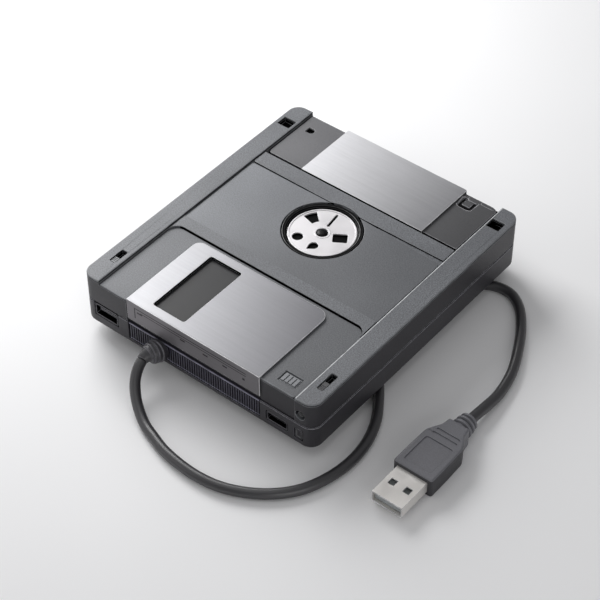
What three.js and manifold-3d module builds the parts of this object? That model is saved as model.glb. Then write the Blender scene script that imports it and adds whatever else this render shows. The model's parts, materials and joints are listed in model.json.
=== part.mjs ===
// An external floppy disk drive: a flat case with a decorated lid, the mechanism inside it, and its cord.
// Millimetres, +Z up. The origin is under the middle of the drive, on the surface that its feet stand on.
// The case is built in its own frame, with z = 0 at its underside and y = 0 halfway along it: the cord
// leaves at the front, -Y, and the disk goes in at the rear, +Y.
import * as THREE from "three";
import { mergeVertices } from "three/addons/utils/BufferGeometryUtils.js";
import Module from "manifold-3d";

// Clearances
const gap = 0.3; // between pieces that touch
const runningGap = 0.4; // beside sliding sheet metal
const overrun = 1; // by which a cutter passes a wall
const inset = 0.1; // of a face that sits a little behind its neighbour

// The disk that the drive takes
const diskWidth = 90;
const diskLength = 94;
const diskThickness = 3.3;
const diskHubDistance = 44.5; // from its leading edge to its hub
const diskSideRoom = 0.4;
const diskHeadroom = 1;

// Sheet metal and walls
const holderSheet = 0.6;
const sliderSheet = 0.6;
const chassisSheet = 0.8;
const chassisSideRoom = 0.8; // from the chassis to the case's wall
const wall = 2;
const floorThickness = 1.8;
const lidThickness = 1.8;

// Widths, from the disk outwards
const holderHalf = diskWidth / 2 + diskSideRoom;
const sliderHalf = holderHalf + holderSheet + runningGap;
const chassisHalf = sliderHalf + sliderSheet + runningGap;
const innerHalf = chassisHalf + chassisSheet + chassisSideRoom;
const half = innerHalf + wall;

// Lengths, from the disk outwards
const frontRoom = 23.6; // from the front face to the disk's leading edge
const rearRoom = 0.4; // from the disk's trailing edge to the rear face
const depth = frontRoom + diskLength + rearRoom;
const front = -depth / 2;
const rear = depth / 2;
const innerFront = front + wall;
const diskFront = front + frontRoom;
const spindleY = diskFront + diskHubDistance;

// Heights, from the floor upwards
const boardLift = 0.6;
const boardThickness = 1;
const chipRoom = 1.2; // between the boards and the chassis
const holderLift = 5.4; // from the chassis to the raised holder
const sliderLift = 0.4; // from the holder to the slider
const lidRoom = 0.7; // from the slider to the lid
const boardBottom = floorThickness + boardLift;
const boardTop = boardBottom + boardThickness;
const chassisBottom = boardTop + chipRoom;
const chassisTop = chassisBottom + chassisSheet;
const lipBottom = chassisTop + holderLift;
const bayBottom = lipBottom + holderSheet;
const bayTop = bayBottom + diskThickness + diskHeadroom;
const holderTop = bayTop + holderSheet;
const sliderBottom = holderTop + sliderLift;
const sliderTop = sliderBottom + sliderSheet;
const lidUnderside = sliderTop + lidRoom;
const recessFloor = lidUnderside + lidThickness;
const railRise = 1.2;
const barRise = 0.75;
const panelRise = 0.45;
const rearRecessDrop = 0.9;
const caseHeight = recessFloor + railRise;
const barTop = recessFloor + barRise;
const panelTop = recessFloor + panelRise;
const rearFloor = recessFloor - rearRecessDrop;

// Case
const cornerRadius = 4.5;
const parting = 9.8;
const lowerTop = parting - gap / 2;
const upperBottom = parting + gap / 2;
const faceSetBack = 0.9; // of the faces that the shutters fold over
const railWidth = 8;
const railInner = half - railWidth;
const railGroove = 0.5;
const railGrooveDepth = 0.6;
const frontRecessLength = 39.5;
const frontBarLength = 5;
const panelLength = 37.8;
const rearBarLength = 7.3;
const recessCorner = 4;
const recessRear = front + frontRecessLength;
const frontBarRear = recessRear + frontBarLength;
const panelRear = frontBarRear + panelLength;
const rearBarRear = panelRear + rearBarLength;
const pocketWidth = 5.3; // square pockets near the rear of the rails
const pocketLength = 4.6;
const pocketDepth = 2.4;
const leftPocketInset = 4.2; // from the side of the case to the pocket's middle
const leftPocketFromRear = 11.1;
const rightPocketInset = 4.7;
const rightPocketFromRear = 9.2;

// Case screws, bosses and feet
const frontScrewInset = 6.2;
const frontScrewFromFront = 15;
const rearScrewX = 30;
const rearScrewFromRear = 7;
const screwRadius = 1;
const screwHeadRadius = 2.3;
const screwHeadHeight = 1.1;
const screwHeadSink = 0.2;
const frontScrewEngagement = 5; // inside the upper boss
const rearScrewEngagement = 0.6; // above the chassis
const lowerBossRadius = 3;
const upperBossRadius = 2.5;
const blindHoleRoom = 1.5;
const footRadius = 4.5;
const footToeRadius = 4;
const footHeight = 5;
const footStubRadius = 1.6;
const footStubHeight = 1.2;
const frontFootInset = 14.5;
const frontFootFromFront = 12;
const rearFootInset = 13;
const rearFootFromRear = 9;
const ribWidth = 4; // wall ribs under the chassis
const chassisRibFromDisk = 7;
const padRadius = 2; // low pads under the boards
const padInset = 6;

// Front shutter
const shutterSheet = 0.5;
const shutterLeft = -30.2;
const shutterRight = 28.3;
const shutterRearRoom = 1.9; // from the shutter to the recess's rear edge
const shutterRear = recessRear - shutterRearRoom;
const shutterTravel = 14;
const shutterFoldBottom = 11.6;
const shutterLeftCorner = 3;
const shutterRightCorner = 4.5;
const shutterTuck = 1.2; // depth of the rear fold in its groove
const shutterFoldMargin = 5;
const windowLeft = -21.5;
const windowRight = -7.4;
const windowFromFront = 3.8;
const windowLength = 30.4;
const windowCorner = 1;
const inlaySheet = 0.6;
const inlayMargin = 1.5; // by which the dark plate passes the window

// Bare ribbed plate in the front recess
const markLeft = 33;
const markWidth = 6.7;
const markFromFront = 4.3;
const markLength = 4.3;
const markRibs = 4;
const markRibDepth = 0.2;

// Rear shutter and panel
const rearShutterLeft = -26.2;
const rearShutterRight = 27.8;
const rearPanelSheet = 0.8;
const rearFoldDrop = 2.1; // of the fold over the rear face
const panelHoleRadius = 1.4;
const panelHoleInset = 4.8; // from the rail
const panelHoleFromRear = 8.4;
const catchWidth = 4.5;
const catchLength = 4;
const catchInset = 8.8;
const catchFromRear = 7;
const catchGroove = 0.6;
const catchGrooveDepth = 0.4;

// Lid hub
const hubFromFront = 69;
const hubDiscRadius = 12.4;
const hubRingWidth = 2.4; // from the disc to the lid's hole
const hubLedge = 0.9;
const hubFloor = 0.6;
const hubDiscSheet = 0.55;
const hubRim = 0.2;
const hubRimWidth = 0.8;
const hubPinRadius = 1.9;
const hubPinRise = 0.25;

// Cut-outs of the hub disc, as shares of its radius
const hubSegmentShares = [0.484, 0.887]; // inner and outer radius of the arc
const hubSegmentFrom = THREE.MathUtils.degToRad(138);
const hubSegmentTo = THREE.MathUtils.degToRad(165);
const hubSlitShares = [0.306, 0.871]; // where the slit starts and ends
const hubSlitWidthShare = 0.081;
const hubSlitAngle = THREE.MathUtils.degToRad(98);
const hubKeyShares = [0.427, 0.355, 0.556]; // the rectangle's width, length and distance
const hubKeyTurn = THREE.MathUtils.degToRad(33);
const hubKeyAngle = THREE.MathUtils.degToRad(13.4);
const hubRoundShares = [0.161, 0.718]; // the round hole's radius and distance
const hubRoundAngle = THREE.MathUtils.degToRad(230.6);
const hubDropShares = [0.137, 0.242, 0.589]; // the drop's radius, tip and distance
const hubDropAngle = THREE.MathUtils.degToRad(-76.5);
const hubDropTurn = THREE.MathUtils.degToRad(-110);

// Sliding tabs in the rails
const tabSlotWidth = 2.6;
const tabChannelWidth = 4.5;
const tabChannelOverlap = 0.8; // of the channel past the slot's ends
const tabChannelFloor = 0.7; // thickness left under the channel
const tabChannelHeight = 1.2;
const tabFlangeHeight = 0.6;
const tabSink = 0.3; // of the tab's top below the rail's
const leftTabInset = 4.85;
const leftTabFromFront = 10.4;
const leftTabSlotLength = 6.8;
const leftTabLength = 2.6;
const rightTabInset = 4;
const rightTabFromFront = 8;
const rightTabSlotLength = 8.3;
const rightTabLength = 3.9;

// Front face
const grilleLeft = -30;
const grilleRight = 28;
const grilleBottom = 1.9;
const grilleTopRoom = 0.15;
const grilleSheet = 0.6;
const finPitch = 1.05;
const finWidth = 0.5;
const finDepth = 1.1;
const portWall = 0.8;
const portTongue = 0.9; // height of the contact tongue
const leftPortInset = 5.2;
const leftPortWidth = 10.6;
const leftPortBottom = 4;
const leftPortHeight = 5.5;
const leftPortLength = 9;
const rightPortInset = 11.1;
const rightPortWidth = 8.8;
const rightPortBottom = 2.8;
const rightPortHeight = 4;
const rightPortLength = 9;
const rightPortWing = 1.6;
const lightInset = 5.7;
const lightHeight = 14.2;
const lightRadius = 1.65;
const lightPostWidth = 2;
const lightPostLength = 1.6;
const setupInset = 6.3; // from the side of the case to the button's middle
const setupWidth = 3.2;
const setupBottom = 2.6;
const setupHeight = 4.3;
const setupLength = 4.6;
const setupFlange = 0.6;
const setupFlangeThickness = 0.8;
const setupTravel = 0.8;
const setupSwitchLength = 4;
const setupSwitchHeight = 4;

// Rear bezel, dust flap and eject button
const bezelThickness = 1.8;
const bezelBottom = 3;
const bezelSideRoom = 0.4;
const slotSideRoom = 0.6;
const flapSheet = 0.5;
const flapBarrel = 0.8;
const flapAxle = 0.5;
const flapLug = 1.4;
const flapLugWidth = 0.9;
const flapSideRoom = 0.4;
const buttonInset = 11; // from the case's side to the button's middle
const buttonWidth = 8;
const buttonBottom = 5.6;
const buttonHeight = 3.2;
const buttonProud = 1.2; // of the rear face with no disk inside
const buttonLength = 8.2;

// Slider, holder and their pins
const slideTravel = 4;
const holderDrop = 2.2;
const pinRadius = 0.9;
const pinProud = 0.3; // beyond the chassis
const pinFromDiskFront = [11.4, 75.4];
const lipWidth = 4.5;
const holderTrim = 8; // from the holder's rear edge to the disk's trailing edge
const armSlotHalf = 7.5;
const armSlotLength = 23.9;
const sliderLead = 0.6; // of the slider in front of the disk's leading edge
const sliderTrim = 9.6;
const sliderArmSlotHalf = 9.5;
const sliderArmSlotLength = 28;
const windowHalf = 26; // lightening windows of the two plates
const holderWindowLength = 34;
const sliderWindowLength = 36;
const flangeBelowPin = 4.4;
const stemWidth = 8.5;
const stemLength = 1.2;
const stemHeight = 2.2;
const stemFootLength = 6;
const springX = 36;
const springRadius = 1.2;
const springLength = 9.1;
const springSink = 0.6; // of its axis below the slider's middle
const postRadius = 1.2;

// Spindle motor
const rotorRadius = 20.6;
const rotorWall = 1;
const rotorHeight = 3.2;
const rotorLift = 0.8; // of the rotor's skirt above the board
const rotorRoom = 0.6; // round the rotor, in the chassis
const chuckRadius = 12.4;
const chuckHeight = 2.5;
const drivePinRadius = 1;
const drivePinDistance = 9.5;
const drivePinRise = 0.8;
const shaftRadius = 2;
const shaftRise = 1.3;
const bearingRadius = 4;
const statorRadius = 19;
const statorInner = 9;
const statorPoles = 12;
const statorCore = 12;
const poleHalfAngle = THREE.MathUtils.degToRad(9);

// Head carriage
const trackRadius = 39.5; // of the outermost track
const carriageHalf = 9;
const blockFromFront = 2.8;
const blockLength = 5.6;
const carriageLift = 0.5; // above the chassis
const lowerArmHalf = 4;
const lowerArmHeight = 2.9;
const armPastHead = 3.4;
const headSize = 4;
const lowerHeadRise = 2;
const hingeFromFront = 5;
const hingeDrop = 1.8; // of the arm's hinge below the lid
const hingePinRadius = 0.7;
const knuckleRadius = 1.5;
const earWidth = 2.5;
const armHalf = 5;
const armSheet = 0.8;
const armLift = 0.2; // of the arm above its hinge
const rodX = 13;
const rodRadius = 1;
const bushWidth = 7;
const bushLength = 6;
const bushFromFront = 4;
const bushHeight = 3.3;
const screwX = -25;
const leadRadius = 1;
const nutWidth = 5;
const nutLength = 3;
const nutFromFront = 15;
const lugThickness = 0.8;
const lugHalf = 2.2;
const runEndFromDisk = 15.2; // of the rod's and the screw's rear lugs, behind the disk's leading edge
const rodFrontLug = 2.4;
const motorRadius = 5;
const motorLength = 9.9;
const motorFromFront = 2.5;
const bracketHalf = 6;
const bracketTop = 13;

// Chassis outline
const chassisFromRear = 5;
const chassisWallTop = bayTop + gap;
const chassisBossRoom = 2.8; // from the chassis to the bosses of the front screws
const chassisFrontFromFront = 11;
const chassisWideFromFront = 21;
const tongueLeft = -8.9;
const tongueRight = 18;
const tongueFromFront = 2.2;

// Latch lever
const latchX = 28;
const latchFromFront = 18;
const latchHub = 2.3;
const latchReach = 12;
const latchWidth = 2;
const latchThickness = 1;
const latchBelowBayTop = 3;
const latchAngle = THREE.MathUtils.degToRad(158);

// Boards and what stands on them
const boardSideRoom = 2.5;
const interfaceFromFront = 5.8;
const interfaceLength = 15.4;
const mainFromFront = 22;
const mainFromRear = 12;
const chipThickness = 0.6;
const controllerX = 30;
const controllerFromDisk = 17;
const controllerSize = 12;
const usbChipX = 27;
const usbChipFromFront = 13.2;
const usbChipSize = 7;
const ribbonX = 30;
const ribbonWidth = 16;
const ribbonHalf = 4.4;
const ribbonSheet = 0.4;
const ribbonFromFront = 21.6;
const sensorX = 20.4;
const sensorWidth = 4;
const sensorLength = 2;
const sensorHeight = 4.3;
const sensorSlot = 1.2;
const sensorFromFront = 10;
const diskSwitchX = 36.5;
const diskSwitchFromRear = 16;
const diskSwitchSize = 5;
const diskSwitchHeight = 2.5;
const plungerRadius = 0.8;
const plungerRise = 1.2;

// Cord, its strain relief and its plug
const cordRadius = 1.9;
const cordX = -15.6;
const cordHeight = 6.2;
const socketWidth = 7.4;
const socketLength = 4;
const socketHeight = 4.6;
const socketFromFront = 6.5;
const collarRadius = 3.8;
const collarThickness = 1.4;
const collarFromFront = 2.1;
const neckRadius = 2.6;
const bootBaseLength = 1.3; // straight part against the front face
const bootReach = 7.9; // of the boot in front of the front face
const bootLean = 1.1; // of its tip to the left
const bootHump = 0.8; // of its route above the exit
const bootDrop = 0.2; // of its tip
// Stages along the boot, as [share of its length, radius]: a base, a ring and a taper, with grooves between
const bootStageShares = [
  [0, 4.3],
  [0.2, 4.2],
  [0.2, 3.5],
  [0.26, 3.5],
  [0.26, 4],
  [0.46, 3.6],
  [0.46, 3],
  [0.52, 3],
  [0.52, 3.3],
  [0.76, 2.5],
  [1, 2.15],
];
const plugX = 82.2;
const plugNeckY = -15;
const plugHeight = 8;
const plugWidth = 15.6;
const plugLength = 32.6;
const plugShoulderFrom = 6.6;
const plugShoulderTo = 13.4;
const plugShoulderWidth = 9.5;
const plugNeckRadius = 2.7;
const plugRibRadius = 3.9;
const plugRibs = 3;
const plugRibWidth = 1.1;
const plugPanelFrom = 17.6;
const plugPanelTo = 30.3;
const plugPanelWidth = 11.5;
const plugPanelDepth = 0.4;
const plugEdge = 1.2;
const shellWidth = 12;
const shellHeight = 4.5;
const shellSheet = 0.4;
const shellProud = 13.8;
const shellSeat = 3;
const shellHoleSize = 2.4;
const shellHoleSpacing = 6;
const shellHoleFromMouth = 7.3;
const tongueThickness = 1.8;
const tongueMouthRoom = 1.2;
const tongueRoot = 2;

// Facets
const smallSides = 8;
const roundSides = 16;
const wideSides = 40;
const cordSides = 8;
const cordSteps = 40;
const arcSteps = 2; // in each quarter of a corner, times two

// The cord's route on the surface, in the drive's own frame: from the strain relief, in front of the drive,
// under its right side and back to the plug
const cordRoute = [
  [-16.66, -67.83, 10.87],
  [-16.3, -69.8, 9.93],
  [-15.5, -72.0, 8.6],
  [-14.2, -74.2, 7.1],
  [-11.8, -76.8, 5.25],
  [-8.9, -79.1, 3.75],
  [-5.4, -81.3, 2.6],
  [-1.6, -83.3, 2.0],
  [4.0, -85.4, 1.95],
  [10.0, -87.4, 1.95],
  [18.6, -88.8, 1.95],
  [27.2, -89.0, 1.95],
  [35.4, -87.6, 1.95],
  [43.4, -84.1, 1.95],
  [50.4, -79.0, 1.95],
  [56.0, -72.2, 1.95],
  [59.6, -63.4, 1.95],
  [61.2, -53.6, 1.95],
  [60.4, -43.6, 1.95],
  [57.0, -33.6, 1.95],
  [51.4, -24.6, 1.95],
  [44.6, -15.4, 1.95],
  [38.8, -5.4, 1.95],
  [35.4, 5.6, 1.95],
  [34.8, 17.0, 1.95],
  [37.2, 28.4, 1.95],
  [42.4, 38.2, 1.95],
  [49.6, 44.4, 1.95],
  [57.2, 45.4, 1.95],
  [63.6, 41.6, 1.95],
  [69.6, 34.2, 1.95],
  [75.4, 23.8, 1.95],
  [80.0, 12.8, 1.95],
  [82.2, 1.6, 2.2],
  [82.4, -7.4, 3.3],
  [82.2, -14.7, 4.0],
];

// Colours and finishes
const looks = {
  lid: { color: 0x6c7176, roughness: 0.6, metalness: 0 },
  shell: { color: 0x34353c, roughness: 0.55, metalness: 0 },
  dark: { color: 0x1d1e22, roughness: 0.35, metalness: 0 },
  gloss: { color: 0x0f1013, roughness: 0.2, metalness: 0 },
  brushed: { color: 0xb9bcc0, roughness: 0.35, metalness: 1 },
  polished: { color: 0xdadcdf, roughness: 0.15, metalness: 1 },
  steel: { color: 0x9a9da1, roughness: 0.4, metalness: 1 },
  rubber: { color: 0x1b1b1c, roughness: 0.9, metalness: 0 },
  grey: { color: 0x8d8f92, roughness: 0.5, metalness: 0 },
  board: { color: 0x1f5a3a, roughness: 0.5, metalness: 0 },
  copper: { color: 0xb8733a, roughness: 0.4, metalness: 1 },
  lens: { color: 0xc8d0cc, roughness: 0.15, metalness: 0 },
  cord: { color: 0x3f4247, roughness: 0.5, metalness: 0 },
};

const wasm = await Module();
wasm.setup();

const drive = new THREE.Group();
const caseGroup = new THREE.Group();
caseGroup.position.set(0, -buttonProud / 2, footHeight);
drive.add(caseGroup);

// Turns a closed geometry into a solid that can be joined and cut.
function solidOf(geometry) {
  const bare = geometry.clone();
  bare.deleteAttribute("normal");
  bare.deleteAttribute("uv");
  const merged = mergeVertices(bare, 1e-4);
  const index = merged.index ?? mergeVertices(merged).index;
  return new wasm.Manifold(
    new wasm.Mesh({
      numProp: 3,
      vertProperties: new Float32Array(merged.attributes.position.array),
      triVerts: new Uint32Array(index.array),
    }),
  );
}

function join(first, ...others) {
  return others.reduce((whole, other) => whole.add(other), first);
}

function cut(first, ...others) {
  return others.reduce((whole, other) => whole.subtract(other), first);
}

// A block between two corners, given as ranges along X, Y and Z.
function block([x0, x1], [y0, y1], [z0, z1]) {
  const geometry = new THREE.BoxGeometry(Math.abs(x1 - x0), y1 - y0, z1 - z0);
  geometry.translate((x0 + x1) / 2, (y0 + y1) / 2, (z0 + z1) / 2);
  return solidOf(geometry);
}

function rodAlongZ(radius, x, y, [z0, z1], sides = smallSides) {
  const geometry = new THREE.CylinderGeometry(radius, radius, z1 - z0, sides);
  geometry.rotateX(Math.PI / 2);
  geometry.translate(x, y, (z0 + z1) / 2);
  return solidOf(geometry);
}

function rodAlongY(radius, x, z, [y0, y1], sides = smallSides) {
  const geometry = new THREE.CylinderGeometry(radius, radius, y1 - y0, sides);
  geometry.translate(x, (y0 + y1) / 2, z);
  return solidOf(geometry);
}

function rodAlongX(radius, y, z, [x0, x1], sides = smallSides) {
  const geometry = new THREE.CylinderGeometry(radius, radius, Math.abs(x1 - x0), sides);
  geometry.rotateZ(Math.PI / 2);
  geometry.translate((x0 + x1) / 2, y, z);
  return solidOf(geometry);
}

// An outline in plan, raised from one height to another.
function plate(shape, [z0, z1]) {
  const geometry = new THREE.ExtrudeGeometry(shape, {
    depth: z1 - z0,
    bevelEnabled: false,
    curveSegments: arcSteps,
  });
  geometry.translate(0, 0, z0);
  return solidOf(geometry);
}

// A profile of [radius, height] points, closed on itself, turned about an upright axis.
function turned(profile, x, y, sides = wideSides) {
  const points = [...profile, profile[0]].map(([r, z]) => new THREE.Vector2(r, z));
  const geometry = new THREE.LatheGeometry(points, sides);
  geometry.rotateX(Math.PI / 2);
  geometry.translate(x, y, 0);
  return solidOf(geometry);
}

// A rectangle in plan with a radius at each corner: front left, front right, rear right, rear left.
function cornered([x0, x1], [y0, y1], radii) {
  const [fl, fr, rr, rl] = radii;
  const shape = new THREE.Shape();
  shape.moveTo(x0 + fl, y0);
  shape.lineTo(x1 - fr, y0);
  if (fr) shape.absarc(x1 - fr, y0 + fr, fr, -Math.PI / 2, 0);
  shape.lineTo(x1, y1 - rr);
  if (rr) shape.absarc(x1 - rr, y1 - rr, rr, 0, Math.PI / 2);
  shape.lineTo(x0 + rl, y1);
  if (rl) shape.absarc(x0 + rl, y1 - rl, rl, Math.PI / 2, Math.PI);
  shape.lineTo(x0, y0 + fl);
  if (fl) shape.absarc(x0 + fl, y0 + fl, fl, Math.PI, Math.PI * 1.5);
  return shape;
}

function roundedRectangle(xs, ys, radius) {
  return cornered(xs, ys, [radius, radius, radius, radius]);
}

// A slot with round ends between two [y, z] points, cut along X.
function slotAlongX(radius, [y0, z0], [y1, z1], xs) {
  const turn = Math.atan2(z1 - z0, y1 - y0);
  const length = Math.hypot(y1 - y0, z1 - z0);
  const shape = new THREE.Shape();
  shape.absarc(length, 0, radius, -Math.PI / 2, Math.PI / 2);
  shape.absarc(0, 0, radius, Math.PI / 2, Math.PI * 1.5);
  const geometry = new THREE.ExtrudeGeometry(shape, {
    depth: Math.abs(xs[1] - xs[0]),
    bevelEnabled: false,
    curveSegments: arcSteps,
  });
  geometry.rotateZ(turn);
  geometry.applyMatrix4(new THREE.Matrix4().set(0, 0, 1, 0, 1, 0, 0, 0, 0, 1, 0, 0, 0, 0, 0, 1));
  geometry.translate(Math.min(...xs), y0, z0);
  return solidOf(geometry);
}

// Widens or narrows a range by the same amount at both ends.
function grown([a, b], by) {
  return [a - by, b + by];
}

// A range on the left or on the right of the case, lowest value first.
function sided(side, a, b) {
  return side < 0 ? [-b, -a] : [a, b];
}

function addPiece(name, solid, look, group = caseGroup) {
  const { vertProperties, triVerts, numProp } = solid.getMesh();
  const positions = new Float32Array((vertProperties.length / numProp) * 3);
  for (let i = 0; i < positions.length / 3; i += 1) {
    positions.set(vertProperties.subarray(i * numProp, i * numProp + 3), i * 3);
  }
  const indexed = new THREE.BufferGeometry();
  indexed.setAttribute("position", new THREE.BufferAttribute(positions, 3));
  indexed.setIndex(new THREE.BufferAttribute(triVerts, 1));
  const geometry = indexed.toNonIndexed();
  geometry.computeVertexNormals();
  const mesh = new THREE.Mesh(geometry, new THREE.MeshStandardMaterial(looks[look]));
  mesh.name = name;
  group.add(mesh);
}

const sides = [
  ["left", -1],
  ["right", 1],
];

// Places that several pieces share
const frontScrewX = half - frontScrewInset;
const chassisFrontHalf = frontScrewX - lowerBossRadius - chassisBossRoom;
const frontScrewY = front + frontScrewFromFront;
const rearScrewY = rear - rearScrewFromRear;
const holeRadius = screwRadius + gap;
const feet = sides.flatMap(([side, s]) => [
  [`front_${side}`, s * (half - frontFootInset), front + frontFootFromFront],
  [`rear_${side}`, s * (half - rearFootInset), rear - rearFootFromRear],
]);
const hubY = front + hubFromFront;
const hubHoleRadius = hubDiscRadius + hubRingWidth;
const ofHubDisc = (share) => share * hubDiscRadius;
const [hubSegmentInner, hubSegmentOuter] = hubSegmentShares.map(ofHubDisc);
const [hubSlitFrom, hubSlitTo] = hubSlitShares.map(ofHubDisc);
const hubSlitWidth = ofHubDisc(hubSlitWidthShare);
const [hubKeyWidth, hubKeyLength, hubKeyRadius] = hubKeyShares.map(ofHubDisc);
const [hubRoundRadius, hubRoundDistance] = hubRoundShares.map(ofHubDisc);
const [hubDropRadius, hubDropTip, hubDropDistance] = hubDropShares.map(ofHubDisc);
const bezelHalf = chassisHalf - bezelSideRoom;
const bezelTop = lidUnderside - runningGap;
const bezelInner = rear - bezelThickness;
const shutterFront = front + inset;
const shutterXs = [shutterLeft, shutterRight];
const shutterBottom = recessFloor + gap;
const rearShutterBottom = rearFloor + gap + rearPanelSheet + gap;
const rearShutterRear = rear - inset;
const rearPanelFront = rearBarRear + gap + shutterSheet + gap;
const windowXs = [windowLeft, windowRight];
const windowYs = [front + windowFromFront, front + windowFromFront + windowLength];
const inlayXs = [windowLeft - inlayMargin, windowRight + shutterTravel + inlayMargin];
const inlayYs = grown(windowYs, inlayMargin - shutterSheet);
const markXs = [markLeft, markLeft + markWidth];
const markYs = [front + markFromFront, front + markFromFront + markLength];
const grilleXs = [grilleLeft, grilleRight];
const grilleZs = [grilleBottom, lowerTop - grilleTopRoom];
const leftPortXs = [-half + leftPortInset, -half + leftPortInset + leftPortWidth];
const leftPortZs = [leftPortBottom, leftPortBottom + leftPortHeight];
const rightPortXs = [half - rightPortInset - rightPortWidth, half - rightPortInset];
const rightPortZs = [rightPortBottom, rightPortBottom + rightPortHeight];
const lightX = half - lightInset;
const setupX = half - setupInset;
const setupXs = [setupX - setupWidth / 2, setupX + setupWidth / 2];
const setupZs = [setupBottom, setupBottom + setupHeight];
const buttonX = half - buttonInset;
const buttonXs = [buttonX - buttonWidth / 2, buttonX + buttonWidth / 2];
const buttonZs = [buttonBottom, buttonBottom + buttonHeight];
const carriageBottom = chassisTop + carriageLift;
const rodAxisHeight = carriageBottom + bushHeight / 2;
const pinZ = (bayBottom + bayTop) / 2;
const pinYs = pinFromDiskFront.map((distance) => diskFront + distance);
const throughFront = [front - overrun, innerFront + overrun];

const tabs = [
  {
    name: "left_tab",
    x: -half + leftTabInset,
    slot: [front + leftTabFromFront, front + leftTabFromFront + leftTabSlotLength],
    length: leftTabLength,
  },
  {
    name: "right_tab",
    x: half - rightTabInset,
    slot: [front + rightTabFromFront, front + rightTabFromFront + rightTabSlotLength],
    length: rightTabLength,
  },
];
const tabChannelZs = [lidUnderside + tabChannelFloor, lidUnderside + tabChannelFloor + tabChannelHeight];

// Lower shell: a tray with the front face's openings, bosses, ribs and pads
function lowerShell() {
  const walls = cut(
    plate(roundedRectangle([-half, half], [front, rear], cornerRadius), [0, lowerTop]),
    plate(
      roundedRectangle([-innerHalf, innerHalf], grown([front, rear], -wall), cornerRadius - wall),
      [floorThickness, lowerTop + overrun],
    ),
  );
  const additions = [];
  const cuts = [
    block(grown(grilleXs, gap), throughFront, [grilleBottom - gap, lowerTop + overrun]),
    block(grown(leftPortXs, gap), throughFront, [leftPortBottom - gap, lowerTop + overrun]),
    block(grown(rightPortXs, gap), throughFront, grown(rightPortZs, gap)),
    block(grown(setupXs, gap), throughFront, grown(setupZs, gap)),
    block(
      [-bezelHalf - gap, bezelHalf + gap],
      [rear - wall - overrun, rear + overrun],
      [bezelBottom - gap, lowerTop + overrun],
    ),
  ];
  for (const [, s] of sides) {
    additions.push(
      rodAlongZ(lowerBossRadius, s * frontScrewX, frontScrewY, [0, lowerTop], roundSides),
      rodAlongZ(lowerBossRadius, s * rearScrewX, rearScrewY, [0, chassisBottom - gap], roundSides),
    );
    const ribXs = sided(s, chassisHalf, innerHalf + wall / 2);
    const ribY = diskFront + chassisRibFromDisk;
    additions.push(block(ribXs, [ribY, ribY + ribWidth], [floorThickness / 2, chassisBottom - gap]));
    for (const y of padRows()) {
      const padX = s * (innerHalf - boardSideRoom - padInset);
      additions.push(rodAlongZ(padRadius, padX, y, [floorThickness / 2, boardBottom - gap]));
    }
    for (const [x, y] of [
      [s * frontScrewX, frontScrewY],
      [s * rearScrewX, rearScrewY],
    ]) {
      const headRoom = screwHeadSink + screwHeadHeight + gap;
      cuts.push(
        rodAlongZ(holeRadius, x, y, [-overrun, lowerTop + overrun]),
        rodAlongZ(screwHeadRadius + gap, x, y, [-overrun, headRoom], roundSides),
      );
    }
  }
  for (const [, x, y] of feet) {
    cuts.push(rodAlongZ(footStubRadius + gap, x, y, [-overrun, footStubHeight]));
  }
  return cut(join(walls, ...additions), ...cuts);
}

// Rows of low pads that carry the two boards
function padRows() {
  const interfaceRear = front + interfaceFromFront + interfaceLength;
  return [
    interfaceRear - padRadius - gap,
    front + mainFromFront + padRadius + chassisRibFromDisk * 2,
    rear - mainFromRear - padRadius - gap,
  ];
}

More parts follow.
